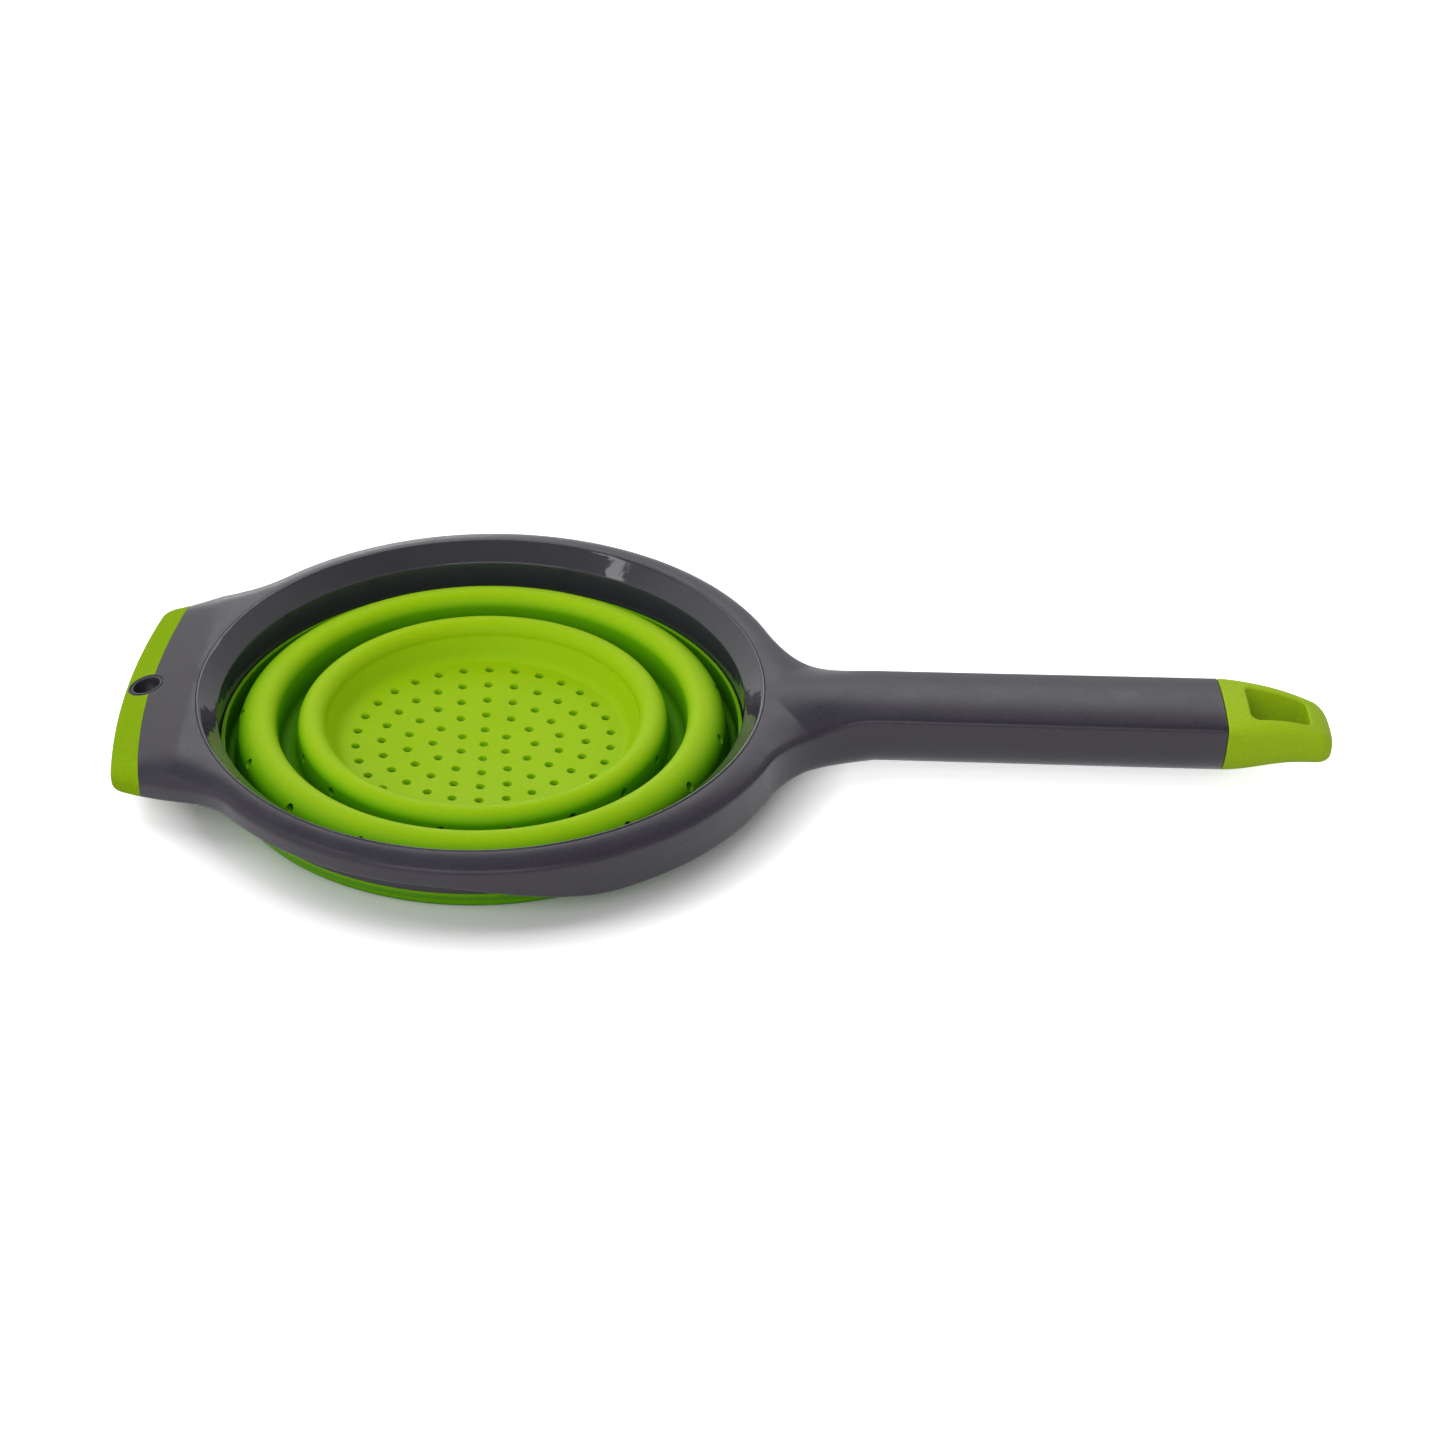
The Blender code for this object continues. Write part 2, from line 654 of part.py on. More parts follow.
def outer_wall_profile():
    """Closed profile of the silicone's clamped lip, ledge and outer valley."""
    radius = OUTER_VALLEY_RADIUS
    ledge_top = SKIRT_BOTTOM - GAP
    ledge_radius = SKIRT_OUTER_RADIUS - GAP
    lip_top = SKIRT_BOTTOM + LIP_HEIGHT
    split = radius + HALF_GAP
    outer_bend = OUTER_VALLEY_BEND + FOLD_HALF_WALL
    inner_bend = OUTER_VALLEY_BEND - FOLD_HALF_WALL
    height = outer_bend - FOOT_CUT
    outside = fold_arc(radius, height, outer_bend, 0, -1)[:-1]
    inside = fold_arc(radius, height, inner_bend, -1, 0)[1:]
    return (
        [(ledge_radius, ledge_top), (ledge_radius, ledge_top - LEDGE_THICKNESS / 2)]
        + outside
        + [(split, height - outer_bend), (split, height - inner_bend)]
        + inside
        + [(LIP_RADIUS - LIP_WALL, lip_top), (LIP_RADIUS, lip_top), (LIP_RADIUS, ledge_top)]
    )


def wall_sides(middle, half_wall):
    """Lines on both sides of a wall's middle line, whose two ends run level."""
    left = []
    right = []
    for i, point in enumerate(middle):
        before = middle[max(i - 1, 0)]
        after = middle[min(i + 1, len(middle) - 1)]
        heading_in = direction(before, point)
        heading_out = direction(point, after)
        if i == 0 or i == len(middle) - 1:
            heading = math.pi if after[0] < before[0] else 0.0
            bend = 0.0
        else:
            bend = math.remainder(heading_out - heading_in, 2 * math.pi) / 2
            heading = heading_in + bend
        offset = half_wall / math.cos(bend)
        left.append(point_along(point, heading + math.pi / 2, offset))
        right.append(point_along(point, heading - math.pi / 2, offset))
    return left, right


def fold_profile(crest, valley):
    """Closed profile of a wall from a crest's top to a valley's bottom.

    Each end is given as its radius, the height of its top or bottom, and its bend.
    """
    crest_radius, crest_top, crest_bend = crest
    valley_radius, valley_bottom, valley_bend = valley
    crest_z = crest_top - FOLD_HALF_WALL - crest_bend
    valley_z = valley_bottom + FOLD_HALF_WALL + valley_bend
    outward = 1 if valley_radius > crest_radius else -1
    crest_end = 0 if outward > 0 else 2
    valley_start = -2 if outward > 0 else 0
    crest_arc = fold_arc(crest_radius, crest_z, crest_bend, 1, crest_end)[1:]
    valley_arc = fold_arc(valley_radius, valley_z, valley_bend, valley_start, -1)[:-1]
    top = (crest_radius + HALF_GAP * outward, crest_top - FOLD_HALF_WALL)
    bottom = (valley_radius - HALF_GAP * outward, valley_bottom + FOLD_HALF_WALL)
    left, right = wall_sides([top] + crest_arc + valley_arc + [bottom], FOLD_HALF_WALL)
    return left + right[::-1]


def floor_height(radius):
    """Middle of the dished floor's wall."""
    share = radius / FLOOR_EDGE_RADIUS
    return FLOOR_LIFT + FOLD_HALF_WALL + FLOOR_RISE * share * share


def floor_profile():
    """Open profile from the floor's middle over the inner crest and back below."""
    split = INNER_CREST_RADIUS - HALF_GAP
    crest_z = INNER_CREST_TOP - FOLD_HALF_WALL - INNER_CREST_BEND
    crest = fold_arc(INNER_CREST_RADIUS, crest_z, INNER_CREST_BEND, 1, 2)[1:]
    edge_z = floor_height(FLOOR_EDGE_RADIUS)
    bend_z = edge_z + FLOOR_BEND_RISE
    corner = (
        mix(FLOOR_EDGE_RADIUS, FLOOR_BEND_RADIUS, FLOOR_CORNER_SHARES[0]),
        mix(edge_z, bend_z, FLOOR_CORNER_SHARES[1]))
    dish = [(radius, floor_height(radius)) for radius in
            (FLOOR_EDGE_RADIUS, FLOOR_EDGE_RADIUS / 2, 0.0)]
    middle = [(split, INNER_CREST_TOP - FOLD_HALF_WALL)] + crest
    middle += [(FLOOR_BEND_RADIUS, bend_z), corner] + dish
    below, above = wall_sides(middle, FOLD_HALF_WALL)
    return above[::-1] + below


# Cap

CAP_STATION_SHARES = (0.0, 0.2, 0.4, 0.6, 0.76, 0.87)
CAP_TIP_ANGLE_SHARES = (0.0, 0.35, 0.65, 0.88, 1.0)
CAP_TAPER_SHARES = (0.05, 0.95)
CAP_ARCH_SHARE = 0.67
CAP_EDGE_SHARE = 0.33


def cap_sections():
    """Sections of the cap from the seam to its rounded tip."""
    start = HANDLE_END + GAP
    places = [mix(start, CAP_TIP_X, share) for share in CAP_STATION_SHARES]
    round_start = CAP_TIP_X - CAP_TIP_ROUND
    for angle_share in CAP_TIP_ANGLE_SHARES:
        places.append(round_start + CAP_TIP_ROUND * math.sin(angle_share * math.pi / 2))
    places.sort()
    sections = []
    for x in places:
        share = (x - start) / (CAP_TIP_X - start)
        turn_in = 0.0
        if x > round_start:
            along = (x - round_start) / CAP_TIP_ROUND
            turn_in = 1 - math.sqrt(max(1 - along * along, 0.0))
        taper = smooth(mix(*CAP_TAPER_SHARES, share))
        half_width = mix(HANDLE_HALF_WIDTH, CAP_TIP_HALF_WIDTH, taper)
        half_width -= turn_in * CAP_TIP_ROUND
        drop = CAP_TIP_DROP * share ** CAP_TOP_POWER
        top = RIM_HEIGHT + HANDLE_DOME * (1 - share) - drop - turn_in * CAP_TIP_ROUND_Z
        edge = RIM_HEIGHT - HANDLE_EDGE_DROP - drop - turn_in * CAP_TIP_ROUND_Z
        arch = smooth(share / CAP_ARCH_SHARE)
        bottom = RIM_HEIGHT - mix(HANDLE_DEPTH, CAP_ARCH_DEPTH, arch) + turn_in * CAP_TIP_ROUND_Z
        edge_round = mix(EDGE_ROUND, CAP_EDGE_ROUND, smooth(share / CAP_EDGE_SHARE))
        heights = top, edge, bottom, bottom
        powers = TOP_POWER, HANDLE_POWER
        sections.append(section((x, 0), (x, half_width), heights, powers, edge_round))
    return sections


def loop_outline():
    """Plan of the hanging loop's opening, with rounded corners."""
    left = HANDLE_END + LOOP_SETBACK + LOOP_CORNER
    right = HANDLE_END + LOOP_SETBACK + LOOP_LENGTH - LOOP_CORNER
    left_half = LOOP_START_HALF_WIDTH - LOOP_CORNER
    right_half = LOOP_END_HALF_WIDTH - LOOP_CORNER
    quarter = math.pi / 2
    corners = [((right, right_half), 0), ((left, left_half), 1), ((left, -left_half), 2),
               ((right, -right_half), 3)]
    outline = []
    for centre, turn_count in corners:
        outline += arc(centre, LOOP_CORNER, turn_count * quarter, (turn_count + 1) * quarter, 4)
    return outline


# Assembly

def build():
    clear_scene()
    parts = make_collection("collapsible_colander")
    cutters = make_collection("cutters")

    grey = make_material("grey_plastic", (0.100, 0.096, 0.118), 0.52)
    glossy = make_material("grey_gloss_plastic", (0.045, 0.043, 0.055), 0.16)
    silicone = make_material("green_silicone", (0.270, 0.480, 0.012), 0.45)
    rubber = make_material("green_rubber", (0.250, 0.420, 0.018), 0.50)

    axis = add_empty("bowl_axis", parts, location=(BOWL_AXIS_X, 0, 0))
    middle_slide = add_empty("middle_wall_slide", parts, axis)
    floor_slide = add_empty("floor_slide", parts, middle_slide)

    # frame
    frame = add_object("rim_handle_frame", frame_blank("rim_handle_frame"), parts, axis, grey)
    mirror_sides(frame)
    strip_reach = OVERRUN * 2
    strip_half = TAB_SIDE_HALF_WIDTH + OVERRUN
    strip = prism("strip_block", strip_outline(GRIP_WIDTH, strip_half, strip_reach),
                  0, RIM_HEIGHT + OVERRUN, cutters, axis)
    combine(strip, boss_rod("tab_boss_rod", TAB_BOSS_RADIUS, cutters, axis), "DIFFERENCE")
    combine(strip, tongue("tab_tongue", 0, cutters, axis), "DIFFERENCE")
    hole, chamfer = hole_rod(cutters, axis)
    bore_end = HANDLE_END - BORE_LENGTH
    bore = handle_core("handle_bore", HANDLE_END + OVERRUN, bore_end, HANDLE_WALL, cutters, axis)
    channel = ring_channel(cutters, axis)
    for cutter in (channel, groove_ring(cutters, axis), strip, hole, chamfer, bore):
        combine(frame, cutter, "DIFFERENCE")

    # strip over the tab's end
    grip = add_object("tab_grip", frame_blank("tab_grip"), parts, axis, rubber)
    mirror_sides(grip)
    grip_plan = strip_outline(GRIP_WIDTH - GAP, strip_half, strip_reach)
    grip_block = prism("grip_block", grip_plan, 0, RIM_HEIGHT + OVERRUN, cutters, axis)
    combine(grip, grip_block, "INTERSECT")
    boss_room = boss_rod("tab_boss_room", TAB_BOSS_RADIUS + GAP, cutters, axis)
    combine(grip, boss_room, "DIFFERENCE")
    combine(grip, tongue("tab_tongue_room", GAP, cutters, axis), "DIFFERENCE")

    # cap with tenon
    cap_mesh = loft("handle_end_cap", cap_sections(), start_cap=True, end_cap=True)
    cap = add_object("handle_end_cap", cap_mesh, parts, axis, rubber)
    mirror_sides(cap)
    tenon = handle_core("cap_tenon", HANDLE_END + OVERRUN, HANDLE_END - TENON_LENGTH,
                        HANDLE_WALL + GAP, cutters, axis)
    combine(cap, tenon, "UNION")
    combine(cap, prism("hanging_loop", loop_outline(), 0, RIM_HEIGHT + OVERRUN, cutters, axis),
            "DIFFERENCE")

    # bowl ring
    turned("bowl_ring", bowl_ring_profile(), True, RING_TURN_STEPS, parts, axis, glossy)

    # silicone bowl, in the zones that move apart as it unfolds
    steps = BOWL_TURN_STEPS
    outer = turned("bowl_outer_wall", outer_wall_profile(), True, steps, parts, axis, silicone)
    foot = prism("foot_plane_block", [
        (SEAT_RADIUS, SEAT_RADIUS), (-SEAT_RADIUS, SEAT_RADIUS),
        (-SEAT_RADIUS, -SEAT_RADIUS), (SEAT_RADIUS, -SEAT_RADIUS)], -OVERRUN, 0, cutters, axis)
    combine(outer, foot, "DIFFERENCE")

    outer_valley = (OUTER_VALLEY_RADIUS, -FOOT_CUT, OUTER_VALLEY_BEND)
    outer_shoulder = (OUTER_CREST_RADIUS, OUTER_CREST_TOP, OUTER_SHOULDER_BEND)
    outer_fold = turned("bowl_outer_fold", fold_profile(outer_shoulder, outer_valley),
                        True, steps, parts, axis, silicone)
    combine(outer_fold, foot, "DIFFERENCE")
    outer_holes = wall_hole_cutter(
        "outer_fold_hole_rods", OUTER_WALL_HOLES, OUTER_WALL_HOLE_TURN,
        OUTER_CREST_RADIUS + OUTER_SHOULDER_BEND, OUTER_CREST_TOP - OUTER_WALL_HOLE_DROP,
        cutters, axis)
    combine(outer_fold, outer_holes, "DIFFERENCE")

    outer_crest = (OUTER_CREST_RADIUS, OUTER_CREST_TOP, OUTER_CREST_BEND)
    inner_valley = (INNER_VALLEY_RADIUS, INNER_VALLEY_LIFT, INNER_VALLEY_BEND)
    turned("bowl_middle_wall", fold_profile(outer_crest, inner_valley),
           True, steps, parts, middle_slide, silicone)

    inner_crest = (INNER_CREST_RADIUS, INNER_CREST_TOP, INNER_CREST_BEND)
    inner_fold = turned("bowl_inner_fold", fold_profile(inner_crest, inner_valley),
                        True, steps, parts, middle_slide, silicone)
    inner_holes = wall_hole_cutter(
        "inner_fold_hole_rods", INNER_WALL_HOLES, INNER_WALL_HOLE_TURN,
        INNER_CREST_RADIUS + INNER_CREST_BEND, INNER_CREST_TOP - INNER_WALL_HOLE_DROP,
        cutters, axis)
    combine(inner_fold, inner_holes, "DIFFERENCE")

    floor = turned("bowl_floor", floor_profile(), False, steps, parts, floor_slide, silicone)
    combine(floor, floor_hole_cutter(cutters, axis), "DIFFERENCE")


build()
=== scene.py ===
import math

import bmesh
import bpy
from mathutils import Matrix, Vector


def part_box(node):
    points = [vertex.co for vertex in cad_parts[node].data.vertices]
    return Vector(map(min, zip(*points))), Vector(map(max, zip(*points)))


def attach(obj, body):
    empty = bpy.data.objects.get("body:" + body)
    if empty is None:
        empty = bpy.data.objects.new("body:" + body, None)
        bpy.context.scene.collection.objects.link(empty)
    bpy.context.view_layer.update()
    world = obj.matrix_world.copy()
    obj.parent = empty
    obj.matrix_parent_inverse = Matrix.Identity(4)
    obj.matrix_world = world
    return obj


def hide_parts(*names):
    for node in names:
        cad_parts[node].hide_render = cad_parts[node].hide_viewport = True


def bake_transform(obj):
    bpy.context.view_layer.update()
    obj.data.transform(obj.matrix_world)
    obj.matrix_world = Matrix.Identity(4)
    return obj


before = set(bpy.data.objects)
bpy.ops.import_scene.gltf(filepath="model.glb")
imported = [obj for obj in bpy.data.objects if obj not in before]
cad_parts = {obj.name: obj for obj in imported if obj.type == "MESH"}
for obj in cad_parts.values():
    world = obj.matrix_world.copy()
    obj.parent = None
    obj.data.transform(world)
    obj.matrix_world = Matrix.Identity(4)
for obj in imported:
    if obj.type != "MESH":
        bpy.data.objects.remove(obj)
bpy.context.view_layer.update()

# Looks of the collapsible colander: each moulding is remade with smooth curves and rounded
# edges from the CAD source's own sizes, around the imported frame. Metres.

MM = 0.001

# Sizes of the CAD source
GAP = 0.3 * MM
OVERRUN = 4.0 * MM
RIM_HEIGHT = 26.6 * MM
SEAT_RADIUS = 93.3 * MM
RING_RADIUS = 101.3 * MM
RING_SHIFT = 1.2 * MM
HANDLE_END = 244.0 * MM
HANDLE_HALF_WIDTH = 16.1 * MM
HANDLE_WAIST = 15.5 * MM
FLARE_RADIUS = 38.0 * MM
TAB_REACH = 118.3 * MM
TAB_END_RADIUS = 280.0 * MM
TAB_SIDE_X = 91.0 * MM
TAB_SIDE_HALF_WIDTH = 58.0 * MM
TAB_SIDE_ANGLE = math.radians(20.5)
TAB_FLARE_RADIUS = 36.0 * MM
TAB_CORNER_RADIUS = 6.0 * MM
HANDLE_DOME = 1.1 * MM
HANDLE_EDGE_DROP = 0.7 * MM
HANDLE_DEPTH = 21.8 * MM
FLARE_EDGE_DROP = 4.2 * MM
RING_EDGE_DROP = 2.0 * MM
RING_FLARE_DEPTH = 19.5 * MM
RING_DEEP_DEPTH = 17.3 * MM
RING_SLIM_DEPTH = 8.4 * MM
TAB_EDGE_DROP = 6.2 * MM
TAB_EDGE_THICKNESS = 6.6 * MM
DEEP_TO_SLIM_START = math.radians(60)
DEEP_TO_SLIM_END = math.radians(95)
EDGE_ROUND = 2.0 * MM
TOP_POWER = 2.2
HANDLE_POWER = 3.0
RING_POWER = 9.0
HANDLE_WALL = 2.8 * MM
BORE_LENGTH = 118.0 * MM
CHANNEL_WALL = 2.3 * MM
CHANNEL_ROOF = 3.6 * MM
CHANNEL_START = math.radians(42)
CHANNEL_END = math.radians(134)
TAB_HOLE_X = 111.0 * MM
TAB_HOLE_RADIUS = 4.4 * MM
TAB_BOSS_RADIUS = 6.1 * MM
GRIP_WIDTH = 9.0 * MM
FLANGE_DEPTH = 9.1 * MM
FLANGE_CONE_HEIGHT = 4.5 * MM
BEVEL_RADIUS = 86.7 * MM
BEVEL_DEPTH = 5.7 * MM
SKIRT_INNER_RADIUS = 86.4 * MM
SKIRT_OUTER_RADIUS = 89.3 * MM
SKIRT_BOTTOM = 7.5 * MM
LIP_RADIUS = 86.1 * MM
LIP_HEIGHT = 3.5 * MM
LIP_WALL = 1.2 * MM
LEDGE_THICKNESS = 1.6 * MM
HALF_WALL = 1.0 * MM
# Each bend of the silicone: its radius, its top or bottom, and the radius of the bend itself
OUTER_VALLEY = 83.5 * MM, -0.5 * MM, 2.4 * MM
OUTER_SHOULDER = 72.6 * MM, 18.4 * MM, 7.2 * MM
OUTER_CREST = 72.6 * MM, 18.4 * MM, 3.8 * MM
INNER_VALLEY = 64.5 * MM, 1.0 * MM, 3.65 * MM
INNER_CREST = 56.5 * MM, 16.6 * MM, 3.65 * MM
FLOOR_LIFT = 0.2 * MM
FLOOR_RISE = 2.4 * MM
FLOOR_BEND_RADIUS = 50.3 * MM
FLOOR_EDGE_RADIUS = 46.1 * MM
FLOOR_BEND_RISE = 3.4 * MM
FLOOR_HOLE_RADIUS = 1.4 * MM
FLOOR_HOLE_PITCH = 8.5 * MM
FLOOR_HOLE_RINGS = 5
FLOOR_HOLE_TURN = math.radians(92.1)
WALL_HOLE_RADIUS = 1.5 * MM
OUTER_WALL_HOLES = 17
INNER_WALL_HOLES = 18
OUTER_WALL_HOLE_DROP = 4.2 * MM
INNER_WALL_HOLE_DROP = 6.2 * MM
OUTER_WALL_HOLE_TURN = math.radians(-92.7)
INNER_WALL_HOLE_TURN = math.radians(-97.8)
CAP_TIP_X = 280.7 * MM
CAP_TIP_HALF_WIDTH = 11.2 * MM
CAP_TIP_DROP = 7.2 * MM
CAP_ARCH_DEPTH = 19.0 * MM
CAP_TOP_POWER = 2.6
CAP_EDGE_ROUND = 3.0 * MM
CAP_TIP_ROUND = 5.0 * MM
CAP_TIP_ROUND_Z = 2.6 * MM
CAP_TAPER_SHARES = 0.05, 0.95
CAP_ARCH_SHARE = 0.67
CAP_EDGE_SHARE = 0.33
TENON_LENGTH = 14.0 * MM
LOOP_SETBACK = 8.5 * MM
LOOP_LENGTH = 20.3 * MM
LOOP_START_HALF_WIDTH = 9.4 * MM
LOOP_END_HALF_WIDTH = 7.0 * MM
LOOP_CORNER = 2.6 * MM

# Forms that only the scene has. Its tab has one top that leans towards the tab's end, where
# the CAD source draws a curve of its own for each section.
TAB_TOP_POWER = 1.1
TAB_SIDE_POWER = 4.0
SEAT_EDGE_ROUND = 0.18 * MM
SEAM_ROUND = 0.25 * MM
RIM_EDGE_ROUND = 0.5 * MM
RIM_EDGE_TURN = math.radians(130)
RIM_PROUD = 0.2 * MM
RIM_KNEE = (0.25 * MM, 0.22 * MM), (0.04 * MM, 0.0), (-0.02 * MM, -0.4 * MM)
THIN_SEAM = 0.05 * MM
HOLE_EDGE_ROUND = 0.35 * MM
LOOP_EDGE_ROUND = 0.9 * MM
TAB_HOLE_EDGE_ROUND = 0.35 * MM
BOSS_GROOVE = 5.25 * MM, 5.7 * MM
BOSS_GROOVE_DEPTH = 0.35 * MM

# Level run at the ends of a turned wall, and the floor's own start inside its middle hole
LEVEL = 0.03 * MM
FLOOR_START = 0.6 * MM

# Cutters: how far they widen above a rounded mouth, in roundings, and the wall holes' length
FLOOR_HOLE_WIDENING = 1.2
TAB_HOLE_WIDENING = 1.5
LOOP_WIDENING = 1.4
PIN_LENGTH = HALF_WALL * 12
MERGE_DISTANCE = GAP / 30

# Fineness
TURN_STEPS = 256
TOP_STEPS = 12
EDGE_STEPS = 10
SIDE_STEPS = 16
ROUND_STEPS = 4
MOUTH_STEPS = ROUND_STEPS * 2
HANDLE_STATIONS = 56
FLARE_STEPS = 48
RING_STEPS = 110
TAB_FLARE_STEPS = 22
TAB_SIDE_STEPS = 14
TAB_CORNER_STEPS = 12
TAB_END_STEPS = 36
CAP_STATIONS = 40
CAP_TIP_STATIONS = 14
FOLD_STEPS = 14
WALL_STEPS = 8
DISH_STEPS = 26
CORNER_STEPS = 14
LIP_STEPS = 4
BEVEL_STEPS = 10
SKIRT_STEPS = 8
LOOP_CORNER_STEPS = 10
LOOP_SIDE_STEPS = 12
HOLE_SIDES = 28
TAB_HOLE_SIDES = 64
ROD_SIDES = 96
SMOOTH_ANGLE = math.radians(40)

# Looks that all mouldings share: scale, detail and roughness of each noise. Waves and grain
# get their scale from the finish.
MOTTLE = 38, 3, 0.5
SPECKS = 850, 1, 0.5
SHINE = 90, 4, 0.5
WAVE_DETAIL = 2, 0.5
GRAIN_DETAIL = 3, 0.6
LIGHTENED_POINTINESS = 0.53, 0.60
EDGE_LIGHTENING = 0.35
OPEN_SHARE_SAMPLES = 6
WHITE = 1.0, 1.0, 1.0

# Light of the studio: a white sweep low all round, which is brighter on the left than on the
# right, and a dim ceiling above it. SWEEP_TOP is in sines of elevation.
SWEEP_TOP = 0.56, 0.82
SWEEP_LEVELS = 1.08, 0.60
CEILING_LEVEL = 0.36

# Floor of the studio. FLOOR_BOUNCE is the grey that lights the object from below, and the
# reaches are radii round the bowl's axis, over which the floor gets paler. Over the first
# the floor glows, a painted light that pales the object's shadow beyond the bowl's rim.
FLOOR_REACH = 3.0
FLOOR_ROUGHNESS = 0.9
FLOOR_SPECULAR = 0.1
FLOOR_BOUNCE = 0.55
FLOOR_SHADOW_GLOW_LEVEL = 0.57
FLOOR_SHADOW_GLOW_REACH = 0.098, 0.122
FLOOR_WHITE_REACH = 0.35, 0.90

# Area lamps: place, the point that they face, size and power
LAMPS = {
    "above": ((-0.62, 0.0, 1.26), (0, 0, 0.02), (1.0, 0.8), 5.8),
    "back": ((0.16, 1.25, 0.95), (0, 0, 0.02), (1.7, 0.5), 4.4),
    "front": ((-0.20, -1.22, 1.12), (0, 0, 0.02), (1.4, 0.6), 5.5),
    "edge": ((-0.40, 1.21, 0.27), (-0.08, 0, 0.02), (0.42, 0.16), 1.0),
    "window": ((-0.81, -0.27, 1.05), (-0.04, 0.08, 0.02), (0.14, 0.32), 0.55),
}
UNREFLECTED_LAMP = "above"

# The photograph's camera, from the fit of the rim and the drain holes
CAMERA_PITCH = math.radians(33.998)
CAMERA_ROLL = math.radians(1.471)
CAMERA_SCALE = 8.5 / 8.4
CAMERA_PLACE = -78.234 * MM, 12.921 * MM, 929.71 * MM
CAMERA_LENS = 71.14
SENSOR_WIDTH = 36.0

bowl_low, bowl_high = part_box("bowl_ring")
AXIS_X = (bowl_low.x + bowl_high.x) / 2
BOWL_AXIS = Vector((AXIS_X, 0, 0))


# Plane geometry, as in the CAD source

def arc(centre, radius, start, end, steps):
    points = []
    for i in range(steps + 1):
        angle = start + (end - start) * i / steps
        points.append((centre[0] + radius * math.cos(angle), centre[1] + radius * math.sin(angle)))
    return points


def circle(centre, radius, sides):
    return arc(centre, radius, 0, 2 * math.pi, sides)[:-1]


def quarter_round(steps):
    """How far each point of an edge's rounding of radius 1 lies inside its two flat sides."""
    angles = [math.pi / 2 * i / steps for i in range(steps + 1)]
    return [(1 - math.cos(angle), 1 - math.sin(angle)) for angle in angles]


def smooth(share):
    share = min(max(share, 0.0), 1.0)
    return share * share * (3 - 2 * share)


def mix(first, second, share):
    return first + (second - first) * share


def direction(centre, point):
    return math.atan2(point[1] - centre[1], point[0] - centre[0])


def point_between(first, second, share):
    return mix(first[0], second[0], share), mix(first[1], second[1], share)


def point_along(start, heading, distance):
    return start[0] + distance * math.cos(heading), start[1] + distance * math.sin(heading)


def reach_along_line(start, heading, centre, distance):
    """The two reaches along a line at which it is a distance away from the centre."""
    dx = start[0] - centre[0]
    dy = start[1] - centre[1]
    middle = -(dx * math.cos(heading) + dy * math.sin(heading))
    half_chord = math.sqrt(middle * middle - dx * dx - dy * dy + distance * distance)
    return middle - half_chord, middle + half_chord


def straight_run(first, second, steps):
    return [point_between(first, second, i / steps) for i in range(1, steps)]


# Meshes

def add_object(name, data):
    obj = bpy.data.objects.new(name, data)
    bpy.context.scene.collection.objects.link(obj)
    return obj


def new_object(name, bm, recalculate=True):
    """An object from a bmesh whose points are measured from the bowl's axis."""
    if recalculate:
        bmesh.ops.recalc_face_normals(bm, faces=bm.faces)
    bmesh.ops.translate(bm, vec=BOWL_AXIS, verts=bm.verts)
    mesh = bpy.data.meshes.new(name)
    bm.to_mesh(mesh)
    bm.free()
    return add_object(name, mesh)


def bake_modifiers(obj):
    bpy.context.view_layer.update()
    depsgraph = bpy.context.evaluated_depsgraph_get()
    mesh = bpy.data.meshes.new_from_object(obj.evaluated_get(depsgraph))
    obj.modifiers.clear()
    obj.data = mesh
    mesh.name = obj.name


def cut(obj, cutters, operation="DIFFERENCE"):
    """Cut obj by each cutter in turn, and throw the cutters away."""
    for cutter in cutters:
        boolean = obj.modifiers.new(cutter.name, "BOOLEAN")
        boolean.operation = operation
        boolean.solver = "EXACT"
        boolean.object = cutter
    bake_modifiers(obj)
    for cutter in cutters:
        bpy.data.objects.remove(cutter, do_unlink=True)


def mirror_sides(obj):
    """Add the half beyond the bowl's own middle plane."""
    mirror = obj.modifiers.new("Other side", "MIRROR")
    mirror.use_axis = (False, True, False)
    mirror.merge_threshold = MERGE_DISTANCE
    bake_modifiers(obj)


def bridge(bm, rings):
    """Faces between closed rings of vertices that follow each other."""
    for low, high in zip(rings, rings[1:]):
        for i in range(len(low)):
            j = (i + 1) % len(low)
            bm.faces.new((low[i], low[j], high[j], high[i]))


def add_stack(bm, rings):
    """A closed body through rings of points that all have the same count."""
    rows = [[bm.verts.new(point) for point in ring] for ring in rings]
    bridge(bm, rows)
    bm.faces.new(rows[0])
    bm.faces.new(rows[-1])


def lathe(name, profile):
    """Turn a closed profile of (radius, height) points round the bowl's axis."""
    bm = bmesh.new()
    angles = [2 * math.pi * i / TURN_STEPS for i in range(TURN_STEPS)]
    rings = [[bm.verts.new((radius * math.cos(angle), radius * math.sin(angle), height))
              for angle in angles] for radius, height in profile]
    bridge(bm, rings + rings[:1])
    return new_object(name, bm)


def ring_stack(name, rings):
    bm = bmesh.new()
    add_stack(bm, rings)
    return new_object(name, bm)


def prism(name, outline, low, high):
    return ring_stack(name, [[(x, y, z) for x, y in outline] for z in (low, high)])


def loft(name, sections, walled=(), start_cap=False, end_cap=False):
    """A skin over open sections. After a walled one it also closes between their ends."""
    bm = bmesh.new()
    rows = [[bm.verts.new(point) for point in points] for points in sections]
    for k, (row, following) in enumerate(zip(rows, rows[1:])):
        for i in range(len(row) - 1):
            bm.faces.new((row[i], row[i + 1], following[i + 1], following[i]))
        if k in walled:
            bm.faces.new((row[-1], row[0], following[0], following[-1]))
    if start_cap:
        bm.faces.new(rows[0])
    if end_cap:
        bm.faces.new(rows[-1])
    return new_object(name, bm)


# Lofted sections of the frame, the grip strip and the cap

